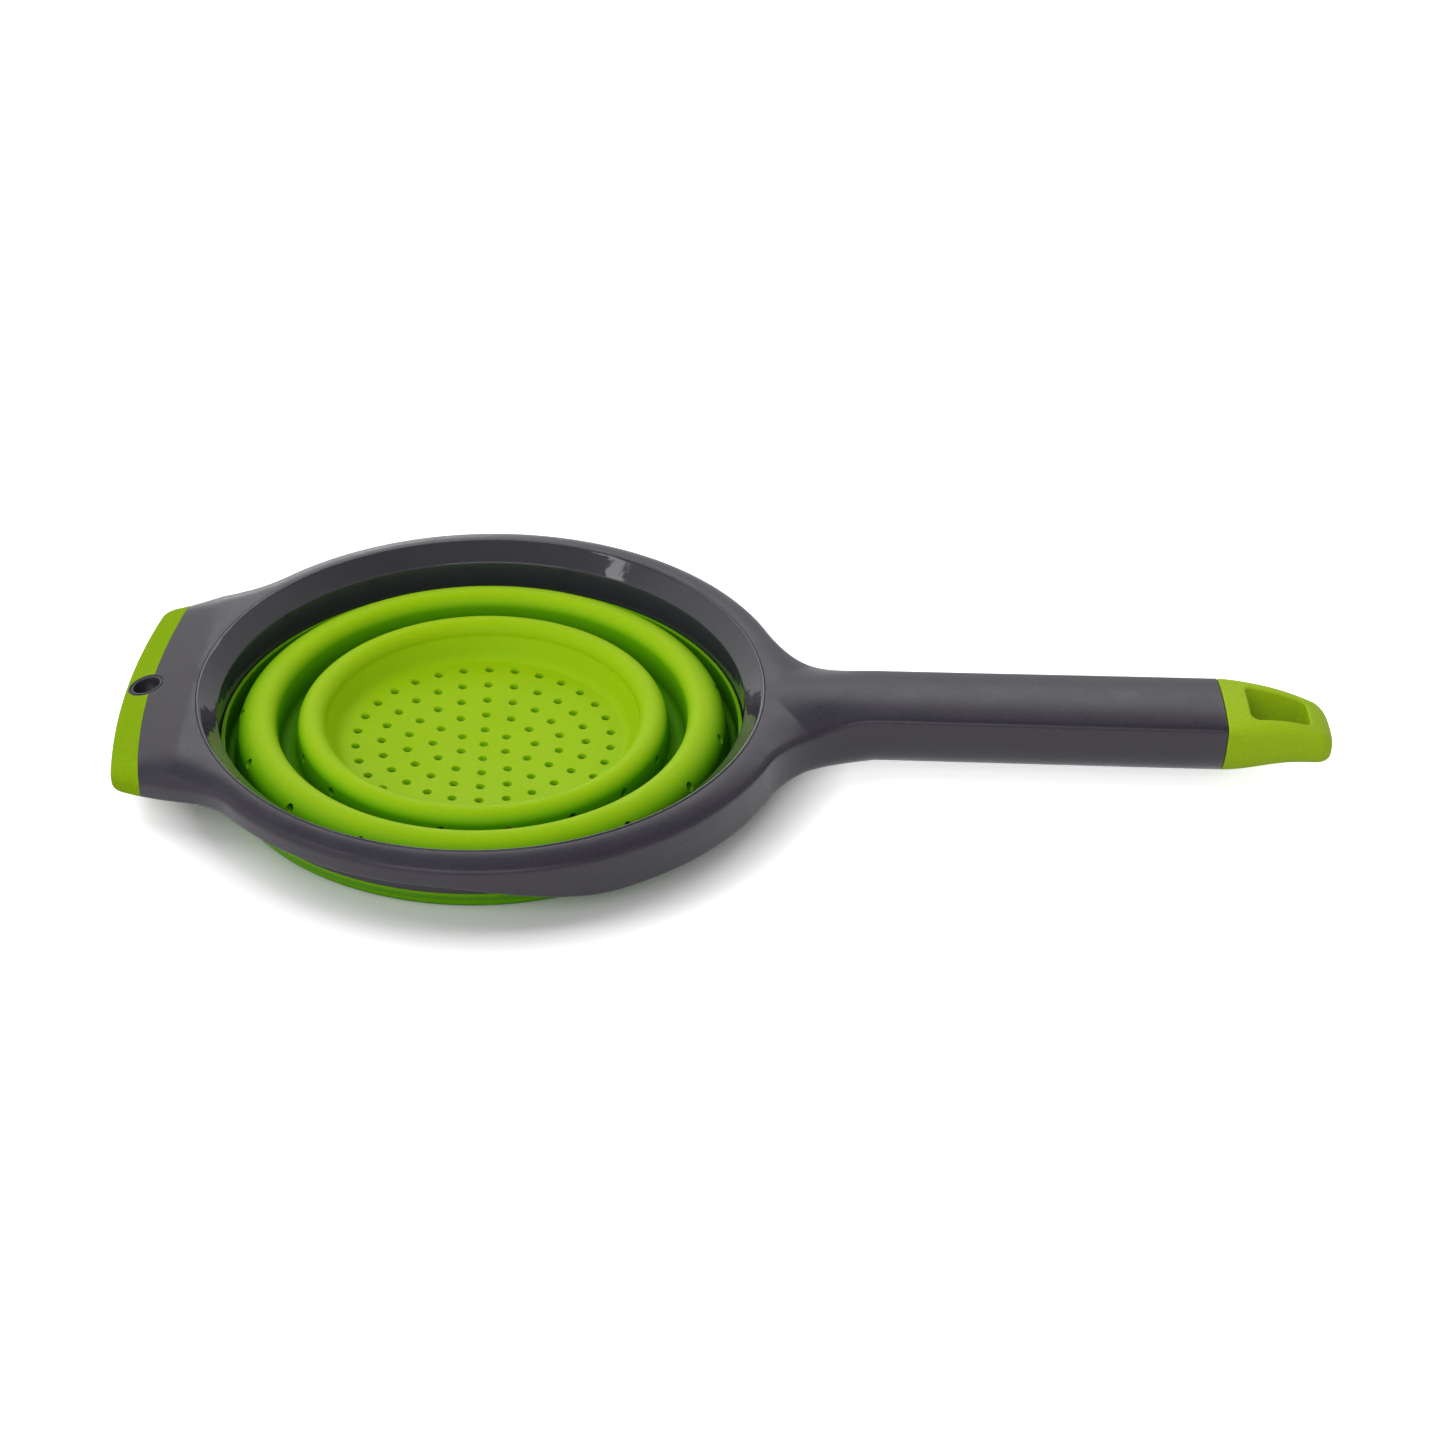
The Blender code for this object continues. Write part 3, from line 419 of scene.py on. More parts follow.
def section(inner, outer, heights, powers, edge_round, seat_round=0.0, top_at=None):
    """One side of a moulding's section, with its edge at the seat rounded by seat_round.

    top_at gives the top's height at a place in plan and its share of the width, where the
    plain curve from top to edge isn't wanted.
    """
    top, edge, bottom_in, bottom_out = heights
    top_power, power = powers
    width = math.dist(inner, outer)
    corner_share = 1 - edge_round / width
    points = []

    def add(share, height):
        points.append((*point_between(inner, outer, share), height))

    def top_height(share):
        if top_at:
            return top_at(mix(inner[0], outer[0], share), share)
        return mix(top, edge, share ** top_power)

    round_share = SEAT_EDGE_ROUND / width
    for run, fall in quarter_round(ROUND_STEPS)[:-1]:
        add(round_share * run, top - seat_round * fall)
    for i in range(TOP_STEPS):
        share = mix(round_share, corner_share, i / TOP_STEPS)
        add(share, top_height(share))
    low = edge - edge_round
    start_height = top_height(corner_share)
    for i in range(EDGE_STEPS):
        t = i / EDGE_STEPS
        share = mix(mix(corner_share, 1, t), 1, t)
        height = mix(mix(start_height, edge, t), mix(edge, low, t), t)
        add(share, height)
    for i in range(SIDE_STEPS + 1):
        angle = math.pi / 2 * i / SIDE_STEPS
        share = max(math.cos(angle), 0.0) ** (2 / power) if i < SIDE_STEPS else 0.0
        depth_share = math.sin(angle) ** (2 / power)
        add(share, mix(low, mix(bottom_in, bottom_out, share), depth_share))
    return points


def handle_section(x, inset):
    share = smooth((x - HANDLE_END / 2) / (HANDLE_END / 2))
    half_width = mix(HANDLE_WAIST, HANDLE_HALF_WIDTH, share) - inset
    top = RIM_HEIGHT + HANDLE_DOME - inset
    edge = RIM_HEIGHT - HANDLE_EDGE_DROP - inset
    bottom = RIM_HEIGHT - HANDLE_DEPTH + inset
    heights = top, edge, bottom, bottom
    return section((x, 0), (x, half_width), heights, (TOP_POWER, HANDLE_POWER), EDGE_ROUND)


def ring_depth(azimuth):
    deep = mix(RING_FLARE_DEPTH, RING_DEEP_DEPTH, smooth(azimuth / DEEP_TO_SLIM_START))
    share = smooth((azimuth - DEEP_TO_SLIM_START) / (DEEP_TO_SLIM_END - DEEP_TO_SLIM_START))
    return mix(deep, RING_SLIM_DEPTH, share)


def seat_point(azimuth):
    return SEAT_RADIUS * math.cos(azimuth), SEAT_RADIUS * math.sin(azimuth)


def flare_sections():
    """From the handle round the concave flare to the ring.

    The number of sections before the one at the ring's seat, and the flare's end in plan, come
    with them.
    """
    ring_centre = (RING_SHIFT, 0)
    reach = RING_RADIUS + FLARE_RADIUS
    height = HANDLE_WAIST + FLARE_RADIUS
    centre = (RING_SHIFT + math.sqrt(reach * reach - height * height), height)
    ring_side = direction(centre, ring_centre)
    on_axis = FLARE_STEPS // 2
    close = on_axis - SEAT_EDGE_ROUND * on_axis / (centre[0] - SEAT_RADIUS)
    flare_end = point_along(centre, ring_side, FLARE_RADIUS)
    last_azimuth = direction((0, 0), flare_end)
    sections = []
    for k in [*range(on_axis), close, *range(on_axis, FLARE_STEPS + 1)]:
        share = k / FLARE_STEPS
        outer = point_along(centre, mix(-math.pi / 2, ring_side, share), FLARE_RADIUS)
        if k <= on_axis:
            inner = (mix(centre[0], SEAT_RADIUS, k / on_axis), 0)
        else:
            inner = seat_point(last_azimuth * (k - on_axis) / (FLARE_STEPS - on_axis))
        dip = math.sin(math.pi * share) ** 2 * (FLARE_EDGE_DROP - RING_EDGE_DROP)
        edge = RIM_HEIGHT - mix(HANDLE_EDGE_DROP, RING_EDGE_DROP, share) - dip
        top = RIM_HEIGHT + HANDLE_DOME * (1 - smooth(k / on_axis))
        bottom = RIM_HEIGHT - mix(HANDLE_DEPTH, ring_depth(last_azimuth), smooth(share))
        power = mix(HANDLE_POWER, RING_POWER, share)
        heights = top, edge, bottom, bottom
        seat_round = SEAT_EDGE_ROUND if k >= on_axis else 0.0
        sections.append(section(inner, outer, heights, (TOP_POWER, power), EDGE_ROUND, seat_round))
    return sections, on_axis + 1, flare_end


def tab_outline():
    """Tab from the ring's tangent point round the corner to the middle of its end."""
    ring_centre = (RING_SHIFT, 0)
    side_point = (-TAB_SIDE_X, TAB_SIDE_HALF_WIDTH)
    inward = TAB_SIDE_ANGLE
    outward_normal = inward + math.pi / 2
    flare_line = point_along(side_point, outward_normal, TAB_FLARE_RADIUS)
    near, far = reach_along_line(flare_line, inward, ring_centre, RING_RADIUS + TAB_FLARE_RADIUS)
    flare_centre = point_along(flare_line, inward, far if near < -TAB_REACH else near)
    end_centre = (TAB_END_RADIUS - TAB_REACH, 0)
    corner_line = point_along(side_point, outward_normal, -TAB_CORNER_RADIUS)
    corner_reach = reach_along_line(
        corner_line, inward + math.pi, end_centre, TAB_END_RADIUS - TAB_CORNER_RADIUS)[1]
    corner_centre = point_along(corner_line, inward + math.pi, corner_reach)
    end_angle = direction(end_centre, corner_centre)
    ring_angle = direction(flare_centre, ring_centre)
    flare = arc(flare_centre, TAB_FLARE_RADIUS, ring_angle, inward - math.pi / 2, TAB_FLARE_STEPS)
    corner = arc(corner_centre, TAB_CORNER_RADIUS, outward_normal, end_angle, TAB_CORNER_STEPS)
    side = straight_run(flare[-1], corner[0], TAB_SIDE_STEPS)
    end = arc(end_centre, TAB_END_RADIUS, end_angle, math.pi, TAB_END_STEPS)
    return flare + side, corner, end[1:]


def ring_and_tab_sections(flare_end):
    """From the flare round the slim side of the ring to the middle of the tab's end."""
    ring_centre = (RING_SHIFT, 0)
    flare, corner, end = tab_outline()
    start = direction(ring_centre, flare_end)
    finish = direction(ring_centre, flare[0])
    ring = arc(ring_centre, RING_RADIUS, start, finish, RING_STEPS)[1:-1]
    tab_start = direction((0, 0), flare[0])
    tab_full = direction((0, 0), corner[0])
    sections = []
    for outer in ring + flare + corner + end:
        azimuth = direction((0, 0), outer)
        along = min(max((azimuth - tab_start) / (tab_full - tab_start), 0.0), 1.0)
        share = smooth(along)
        edge = RIM_HEIGHT - mix(RING_EDGE_DROP, TAB_EDGE_DROP, share)
        bottom_in = RIM_HEIGHT - ring_depth(azimuth)
        bottom_out = mix(bottom_in, edge - TAB_EDGE_THICKNESS, 1 - (1 - along) ** 2)
        heights = RIM_HEIGHT, edge, bottom_in, bottom_out
        top_at = leaning_top(outer[0], edge, share)
        sections.append(section(seat_point(azimuth), outer, heights, (TOP_POWER, RING_POWER),
                                EDGE_ROUND, SEAT_EDGE_ROUND, top_at))
    return sections


def tab_fall(x):
    """How far the tab's top has fallen at x, from the ring's seat towards the tab's end."""
    share = max(-x - SEAT_RADIUS, 0.0) / (TAB_REACH - SEAT_RADIUS)
    return TAB_EDGE_DROP * share ** TAB_TOP_POWER


def leaning_top(outer_x, edge, share):
    """Top of a section that turns from the ring's crown into the tab's leaning top."""
    side_fall = RIM_HEIGHT - edge - tab_fall(outer_x)

    def top_at(x, across):
        crown = mix(RIM_HEIGHT, edge, across ** TOP_POWER)
        leaning = RIM_HEIGHT - tab_fall(x) - side_fall * across ** TAB_SIDE_POWER
        return mix(crown, leaning, share)

    return top_at


def frame_blank(name):
    """The whole moulding with the tab's end in place, and a rounded edge at the handle's end.

    The points of the top on the tab's middle line come with it.
    """
    straight = [handle_section(HANDLE_END - SEAM_ROUND * run, SEAM_ROUND * fall)
                for run, fall in quarter_round(ROUND_STEPS)]
    flare, before_seat, flare_end = flare_sections()
    flare_start = flare[0][0][0]
    for i in range(1, HANDLE_STATIONS):
        x = mix(HANDLE_END - SEAM_ROUND, flare_start, i / HANDLE_STATIONS)
        straight.append(handle_section(x, 0))
    sections = straight + flare + ring_and_tab_sections(flare_end)
    first_wall = len(straight) + before_seat
    obj = loft(name, sections, walled=range(first_wall, len(sections)), start_cap=True)
    mirror_sides(obj)
    return obj, sections[-1][ROUND_STEPS:ROUND_STEPS + TOP_STEPS + EDGE_STEPS]


# Cutters

def rod(name, radius, low, high, place):
    return prism(name, circle(place, radius, ROD_SIDES), low, high)


def strip_outline(width):
    """Plan of the tab's end beyond an arc that lies width inside its end."""
    radius = TAB_END_RADIUS - width
    half_angle = math.asin((TAB_SIDE_HALF_WIDTH + OVERRUN) / radius)
    start, end = math.pi + half_angle, math.pi - half_angle
    centre = (TAB_END_RADIUS - TAB_REACH, 0)
    inner_arc = arc(centre, radius, start, end, TAB_END_STEPS * 2)
    outer_arc = arc(centre, TAB_END_RADIUS + OVERRUN * 2, end, start, TAB_END_STEPS * 2)
    return inner_arc + outer_arc


def ring_channel():
    outline = arc((0, 0), SEAT_RADIUS + CHANNEL_WALL, CHANNEL_END, CHANNEL_START, RING_STEPS)
    outline += arc((RING_SHIFT, 0), RING_RADIUS - CHANNEL_WALL, CHANNEL_START, CHANNEL_END,
                   RING_STEPS)
    obj = prism("ring_channel", outline, 0, RIM_HEIGHT - CHANNEL_ROOF)
    mirror_sides(obj)
    return obj


def handle_core(name, start, end, inset):
    obj = loft(name, [handle_section(start, inset), handle_section(end, inset)],
               start_cap=True, end_cap=True)
    mirror_sides(obj)
    return obj


def height_along(line, x):
    """Height at x of a line of points that runs towards -X."""
    for before, after in zip(line, line[1:]):
        if x >= after[0]:
            break
    return mix(before[2], after[2], (before[0] - x) / (before[0] - after[0]))


def surface_ring(place, radius, sides, top_at, height):
    """A circle of points that lie a height above a surface."""
    return [(x, y, top_at(x, y) + height) for x, y in circle(place, radius, sides)]


def boss_groove(place, top_at):
    """Cutter of the fine groove round the tab hole's raised rim."""
    inner, outer = BOSS_GROOVE
    obj = ring_stack("boss_groove", [surface_ring(place, outer, ROD_SIDES, top_at, height)
                                     for height in (-BOSS_GROOVE_DEPTH, OVERRUN / 2)])
    cut(obj, [rod("boss_rim", inner, 0, RIM_HEIGHT * 2, place)])
    return obj


def tab_hole_cutter(place, top_at):
    """Upright rod whose upper mouth is rounded along the tab's top."""
    edge = TAB_HOLE_EDGE_ROUND
    mouth = [(edge * run, -edge * fall) for run, fall in quarter_round(MOUTH_STEPS)]
    mouth.append((edge * TAB_HOLE_WIDENING, OVERRUN / 2))
    rings = [[(x, y, 0) for x, y in circle(place, TAB_HOLE_RADIUS, TAB_HOLE_SIDES)]]
    rings += [surface_ring(place, TAB_HOLE_RADIUS + grow, TAB_HOLE_SIDES, top_at, height)
              for grow, height in mouth]
    return ring_stack("tab_hole", rings)


# Turned silicone walls

def fold_arc(radius, height, bend, start, end):
    return arc((radius, height), bend, start * math.pi / 2, end * math.pi / 2, FOLD_STEPS)


def wall_sides(middle):
    """Lines on both sides of a wall's middle line, whose two ends run level."""
    left = []
    right = []
    last = len(middle) - 1
    for i, point in enumerate(middle):
        before = middle[max(i - 1, 0)]
        after = middle[min(i + 1, last)]
        if i in (0, last):
            heading = math.pi if after[0] < before[0] else 0.0
            bend = 0.0
        else:
            heading_in = direction(before, point)
            bend = math.remainder(direction(point, after) - heading_in, 2 * math.pi) / 2
            heading = heading_in + bend
        offset = HALF_WALL / math.cos(bend)
        left.append(point_along(point, heading + math.pi / 2, offset))
        right.append(point_along(point, heading - math.pi / 2, offset))
    return left, right


def fold_middle(crest, valley):
    """Middle line from a crest's top to a valley's bottom, level at both ends."""
    crest_radius, crest_top, crest_bend = crest
    valley_radius, valley_bottom, valley_bend = valley
    top_z = crest_top - HALF_WALL
    bottom_z = valley_bottom + HALF_WALL
    if valley_radius > crest_radius:
        outward, crest_end, valley_start = 1, 0, -2
    else:
        outward, crest_end, valley_start = -1, 2, 0
    crest_arc = fold_arc(crest_radius, top_z - crest_bend, crest_bend, 1, crest_end)[1:]
    valley_arc = fold_arc(valley_radius, bottom_z + valley_bend, valley_bend, valley_start, -1)[:-1]
    top = [(crest_radius, top_z), (crest_radius + LEVEL * outward, top_z)]
    bottom = [(valley_radius - LEVEL * outward, bottom_z), (valley_radius, bottom_z)]
    run = straight_run(crest_arc[-1], valley_arc[0], WALL_STEPS)
    return top + crest_arc + run + valley_arc + bottom


def fold_profile(crest, valley):
    left, right = wall_sides(fold_middle(crest, valley))
    return [(radius, max(height, 0.0)) for radius, height in left + right[::-1]]


def outer_wall_profile():
    """Clamped lip, ledge and outer half of the outer valley."""
    radius, bottom, bend = OUTER_VALLEY
    height = bottom + HALF_WALL + bend
    ledge_top = SKIRT_BOTTOM - GAP
    ledge_radius = SKIRT_OUTER_RADIUS - GAP
    lip_top = SKIRT_BOTTOM + LIP_HEIGHT
    lip_inside = (LIP_RADIUS - LIP_WALL, lip_top)
    outside = fold_arc(radius, height, bend + HALF_WALL, 0, -1)
    inside = fold_arc(radius, height, bend - HALF_WALL, -1, 0)
    outside = [(x, max(z, 0.0)) for x, z in outside]
    ledge_foot = (ledge_radius, ledge_top - LEDGE_THICKNESS / 2)
    edge = RIM_EDGE_ROUND
    ledge = [(LIP_RADIUS, ledge_top), (ledge_radius - edge, ledge_top)]
    ledge += arc((ledge_radius - edge, ledge_top - edge), edge, math.pi / 2, 0, ROUND_STEPS)[1:]
    ledge += [ledge_foot] + straight_run(ledge_foot, outside[0], LIP_STEPS)
    lip = straight_run(inside[-1], lip_inside, LIP_STEPS)
    lip += [lip_inside, (LIP_RADIUS, lip_top)]
    seam = [(radius + LEVEL, outside[-1][1]), (radius, outside[-1][1]), (radius, inside[0][1]),
            (radius + LEVEL, inside[0][1])]
    return ledge + outside[:-1] + seam + inside[1:] + lip


def floor_height(radius):
    share = radius / FLOOR_EDGE_RADIUS
    return FLOOR_LIFT + HALF_WALL + FLOOR_RISE * share * share


def floor_profile():
    """From the inner crest down into the dished floor, which has a hole in its middle."""
    radius, top, bend = INNER_CREST
    crest = fold_arc(radius, top - HALF_WALL - bend, bend, 1, 2)[1:]
    edge_z = floor_height(FLOOR_EDGE_RADIUS)
    wall_foot = (FLOOR_BEND_RADIUS, edge_z + FLOOR_BEND_RISE)
    dish_edge = (FLOOR_EDGE_RADIUS, edge_z)
    wall = straight_run(crest[-1], wall_foot, WALL_STEPS)
    dish_slope = 2 * FLOOR_RISE / FLOOR_EDGE_RADIUS
    wall_slope = (crest[-1][1] - wall_foot[1]) / (crest[-1][0] - wall_foot[0])
    knee_x = (edge_z - wall_foot[1] + wall_slope * wall_foot[0] - dish_slope * dish_edge[0]) / (
        wall_slope - dish_slope)
    knee = (knee_x, edge_z + dish_slope * (knee_x - dish_edge[0]))
    corner = []
    for i in range(CORNER_STEPS + 1):
        t = i / CORNER_STEPS
        corner.append(point_between(point_between(wall_foot, knee, t),
                                    point_between(knee, dish_edge, t), t))
    places = [mix(FLOOR_EDGE_RADIUS, FLOOR_START, i / DISH_STEPS) for i in range(1, DISH_STEPS + 1)]
    dish = [(place, floor_height(place)) for place in places]
    start = [(radius, top - HALF_WALL), (radius - LEVEL, top - HALF_WALL)]
    below, above = wall_sides(start + crest + wall + corner + dish)
    return above[::-1] + below


def floor_hole_cutters():
    """One cutter that holds every rod of the floor, with rounded mouths."""
    bm = bmesh.new()
    for ring in range(FLOOR_HOLE_RINGS + 1):
        count = max(6 * ring, 1)
        for i in range(count):
            angle = FLOOR_HOLE_TURN + 2 * math.pi * i / count
            place = (ring * FLOOR_HOLE_PITCH * math.cos(angle),
                     ring * FLOOR_HOLE_PITCH * math.sin(angle))
            add_hole(bm, place)
    return new_object("floor_hole_rods", bm)


def add_hole(bm, place):
    base = floor_height(math.hypot(*place))
    edge = HOLE_EDGE_ROUND
    mouth = quarter_round(ROUND_STEPS)
    plan = [(edge, -OVERRUN)]
    plan += [(edge * fall, -HALF_WALL + edge * run) for run, fall in mouth]
    plan += [(edge * run, HALF_WALL - edge * fall) for run, fall in mouth]
    plan += [(edge * FLOOR_HOLE_WIDENING, HALF_WALL + OVERRUN / 4)]
    add_stack(bm, [[(x, y, base + height)
                    for x, y in circle(place, FLOOR_HOLE_RADIUS + grow, HOLE_SIDES)]
                   for grow, height in plan])


def wall_hole_cutters(name, count, turn_angle, crest, drop):
    """Level rods through the outer side of a fold, a drop below its crest's top."""
    crest_radius, crest_top, crest_bend = crest
    bm = bmesh.new()
    for i in range(count):
        angle = turn_angle + 2 * math.pi * i / count
        pin = bmesh.ops.create_cone(
            bm, cap_ends=True, segments=HOLE_SIDES, radius1=WALL_HOLE_RADIUS,
            radius2=WALL_HOLE_RADIUS, depth=PIN_LENGTH)
        for vert in pin["verts"]:
            x, y, z = vert.co
            reach = crest_radius + crest_bend + z
            vert.co = (reach * math.cos(angle) - y * math.sin(angle),
                       reach * math.sin(angle) + y * math.cos(angle), crest_top - drop + x)
    return new_object(name, bm)


# Cap

def cap_shape(x):
    """Half width, top, edge, bottom and edge rounding of the cap at a place along it."""
    start = HANDLE_END + GAP
    round_start = CAP_TIP_X - CAP_TIP_ROUND
    share = (x - start) / (CAP_TIP_X - start)
    turn_in = 0.0
    if x > round_start:
        along = (x - round_start) / CAP_TIP_ROUND
        turn_in = 1 - math.sqrt(max(1 - along * along, 0.0))
    taper = smooth(mix(*CAP_TAPER_SHARES, share))
    half_width = mix(HANDLE_HALF_WIDTH, CAP_TIP_HALF_WIDTH, taper) - turn_in * CAP_TIP_ROUND
    drop = CAP_TIP_DROP * share ** CAP_TOP_POWER
    top = RIM_HEIGHT + HANDLE_DOME * (1 - share) - drop - turn_in * CAP_TIP_ROUND_Z
    edge = RIM_HEIGHT - HANDLE_EDGE_DROP - drop - turn_in * CAP_TIP_ROUND_Z
    arch = smooth(share / CAP_ARCH_SHARE)
    bottom = RIM_HEIGHT - mix(HANDLE_DEPTH, CAP_ARCH_DEPTH, arch) + turn_in * CAP_TIP_ROUND_Z
    edge_round = mix(EDGE_ROUND, CAP_EDGE_ROUND, smooth(share / CAP_EDGE_SHARE))
    return half_width, top, edge, bottom, edge_round


def cap_section(x, inset=0.0):
    half_width, top, edge, bottom, edge_round = cap_shape(x)
    heights = top - inset, edge - inset, bottom + inset, bottom + inset
    return section((x, 0), (x, half_width - inset), heights, (TOP_POWER, HANDLE_POWER), edge_round)


def cap_sections():
    start = HANDLE_END + GAP
    round_start = CAP_TIP_X - CAP_TIP_ROUND
    sections = [cap_section(start + SEAM_ROUND * run, SEAM_ROUND * fall)
                for run, fall in quarter_round(ROUND_STEPS)]
    for i in range(1, CAP_STATIONS):
        sections.append(cap_section(mix(start + SEAM_ROUND, round_start, i / CAP_STATIONS)))
    for i in range(CAP_TIP_STATIONS + 1):
        angle = math.pi / 2 * i / CAP_TIP_STATIONS
        sections.append(cap_section(round_start + CAP_TIP_ROUND * math.sin(angle)))
    return sections


def cap_top(x, y):
    half_width, top, edge, _, _ = cap_shape(x)
    return mix(top, edge, min(abs(y) / half_width, 1.0) ** TOP_POWER)


def cap_bottom(x, y):
    half_width, _, edge, bottom, edge_round = cap_shape(x)
    share = min(abs(y) / half_width, 1.0)
    return mix(edge - edge_round, bottom, (1 - share ** HANDLE_POWER) ** (1 / HANDLE_POWER))


def loop_outline(grow):
    """Plan of the hanging loop, grown by a distance all round."""
    left = HANDLE_END + LOOP_SETBACK + LOOP_CORNER
    right = HANDLE_END + LOOP_SETBACK + LOOP_LENGTH - LOOP_CORNER
    left_half = LOOP_START_HALF_WIDTH - LOOP_CORNER
    right_half = LOOP_END_HALF_WIDTH - LOOP_CORNER
    corners = [(right, right_half), (left, left_half), (left, -left_half), (right, -right_half)]
    radius = LOOP_CORNER + grow
    outline = []
    for quarter, centre in enumerate(corners):
        start = quarter * math.pi / 2
        outline += arc(centre, radius, start, start + math.pi / 2, LOOP_CORNER_STEPS)
        following = point_along(corners[(quarter + 1) % 4], start + math.pi / 2, radius)
        outline += straight_run(outline[-1], following, LOOP_SIDE_STEPS)
    return outline


def loop_cutter():
    """Cutter of the hanging loop, whose mouths are rounded along the cap's top and underside."""
    edge = LOOP_EDGE_ROUND
    wide = edge * LOOP_WIDENING
    mouth = quarter_round(MOUTH_STEPS)
    levels = [(wide, cap_bottom, -edge)]
    levels += [(edge * fall, cap_bottom, edge * run) for run, fall in mouth]
    levels += [(edge * run, cap_top, -edge * fall) for run, fall in mouth]
    levels += [(wide, cap_top, edge)]
    rings = [[(x, y, surface(x, y) + height) for x, y in loop_outline(grow)]
             for grow, surface, height in levels]
    low, high = ([(x, y, z) for x, y in loop_outline(wide)]
                 for z in (-OVERRUN, RIM_HEIGHT + OVERRUN))
    return ring_stack("loop_cutter", [low, *rings, high])


# Materials

def feed(tree, socket, value):
    """Link an output to a socket, or put a value on the socket."""
    if isinstance(value, bpy.types.NodeSocket):
        tree.links.new(value, socket)
    elif socket.type == "RGBA":
        socket.default_value = (*value, 1.0)
    else:
        socket.default_value = value


def feed_all(tree, node, inputs):
    for key, value in inputs.items():
        feed(tree, node.inputs[key], value)


def node_tree(name):
    """A material of one plain shader."""
    material = bpy.data.materials.new(name)
    material.use_nodes = True
    tree = material.node_tree
    tree.nodes.clear()
    shader = add_node(tree, "ShaderNodeBsdfPrincipled")
    add_node(tree, "ShaderNodeOutputMaterial", {"Surface": shader.outputs["BSDF"]})
    return material, shader


def add_node(tree, kind, inputs=None, **settings):
    """A node with its settings, and with a value or an output for each of the named inputs."""
    node = tree.nodes.new(kind)
    for key, value in settings.items():
        setattr(node, key, value)
    feed_all(tree, node, inputs or {})
    return node


def noise(tree, coordinates, scale, detail, roughness):
    return add_node(tree, "ShaderNodeTexNoise", {
        "Vector": coordinates, "Scale": scale, "Detail": detail,
        "Roughness": roughness}).outputs["Fac"]


def spread(tree, source, low, high, start=0.3, end=0.7, **settings):
    """A value that runs from low to high as the source runs from start to end."""
    return add_node(tree, "ShaderNodeMapRange", {
        "Value": source, "From Min": start, "From Max": end, "To Min": low, "To Max": high},
        **settings).outputs["Result"]


def blend_colour(tree, share, first, second):
    return add_node(tree, "ShaderNodeMix", {"Factor": share, "A": first, "B": second},
                    data_type="RGBA").outputs["Result"]


def calculate(tree, operation, first, second):
    return add_node(tree, "ShaderNodeMath", {0: first, 1: second},
                    operation=operation).outputs["Value"]


def seen_by(tree, *rays):
    """1 where one of the named kinds of ray looks, and 0 elsewhere."""
    path = add_node(tree, "ShaderNodeLightPath").outputs
    share = path[rays[0]]
    for ray in rays[1:]:
        share = calculate(tree, "MAXIMUM", share, path[ray])
    return share


def bump(tree, height, distance, strength, below=None):
    inputs = {"Height": height, "Distance": distance, "Strength": strength}
    if below:
        inputs["Normal"] = below
    return add_node(tree, "ShaderNodeBump", inputs).outputs["Normal"]


def plastic(name, colour, dark, light, roughness, grain, waves, specular, speck=0.5):
    """Moulded plastic or rubber: mottled colour, lighter colour on sharp edges, grain and faint
    waves.

    roughness is a range. grain and waves are (scale, distance, strength) of the two bumps.
    """
    material, shader = node_tree(name)
    tree = material.node_tree
    coordinates = add_node(tree, "ShaderNodeTexCoord").outputs["Object"]
    pointiness = add_node(tree, "ShaderNodeNewGeometry").outputs["Pointiness"]
    mottle = spread(tree, noise(tree, coordinates, *MOTTLE), 0, 1)
    specks = spread(tree, noise(tree, coordinates, *SPECKS), 0, speck)
    # lighter colour where the surface is sharply convex, at every edge and rim
    edges = spread(tree, pointiness, 0, EDGE_LIGHTENING, *LIGHTENED_POINTINESS)
    base = blend_colour(tree, mottle, dark, colour)
    base = blend_colour(tree, specks, base, light)
    base = blend_colour(tree, edges, base, light)
    wave_scale, *wave_height = waves
    grain_scale, *grain_height = grain
    lower = bump(tree, noise(tree, coordinates, wave_scale, *WAVE_DETAIL), *wave_height)
    normal = bump(tree, noise(tree, coordinates, grain_scale, *GRAIN_DETAIL), *grain_height, lower)
    feed_all(tree, shader, {
        "Base Color": base, "Roughness": spread(tree, noise(tree, coordinates, *SHINE), *roughness),
        "Normal": normal, "Specular IOR Level": specular})
    return material, shader


def grey_plastic():
    return plastic(
        "moulded_grey", colour=(0.029, 0.025, 0.036), dark=(0.025, 0.021, 0.031),
        light=(0.045, 0.040, 0.054), roughness=(0.26, 0.36), grain=(1100, 0.03 * MM, 0.25),
        waves=(30, 1.2 * MM, 0.12), specular=0.33, speck=0.3)[0]


def glossy_grey():
    return plastic(
        "polished_grey", colour=(0.034, 0.032, 0.041), dark=(0.030, 0.028, 0.037),
        light=(0.048, 0.046, 0.057), roughness=(0.04, 0.09), grain=(1800, 0.01 * MM, 0.10),
        waves=(120, 0.5 * MM, 0.30), specular=0.5, speck=0.2)[0]


def paint_fold_shade_and_glow(material, shader, deep, middle, distance, limits):
    """Painted shade and glow: where the surface is closed in, its colour turns to the given deep
    and middle colours.

    limits are the open shares of what lies within the distance at which the colour is deep,
    middle and plain.
    """
    tree = material.node_tree
    base_colour = shader.inputs["Base Color"]
    plain = base_colour.links[0].from_socket
    open_share = add_node(tree, "ShaderNodeAmbientOcclusion", {"Distance": distance},
                          samples=OPEN_SHARE_SAMPLES).outputs["AO"]
    closed, half_open, fully_open = limits
    # painted light: the colour follows how closed in the surface is, deep where closed and middle
    # where half open
    painted_fold_colour = blend_colour(tree, spread(tree, open_share, 0, 1, closed, half_open), deep, middle)
    share = spread(tree, open_share, 0, 1, half_open, fully_open)
    feed(tree, base_colour, blend_colour(tree, share, painted_fold_colour, plain))


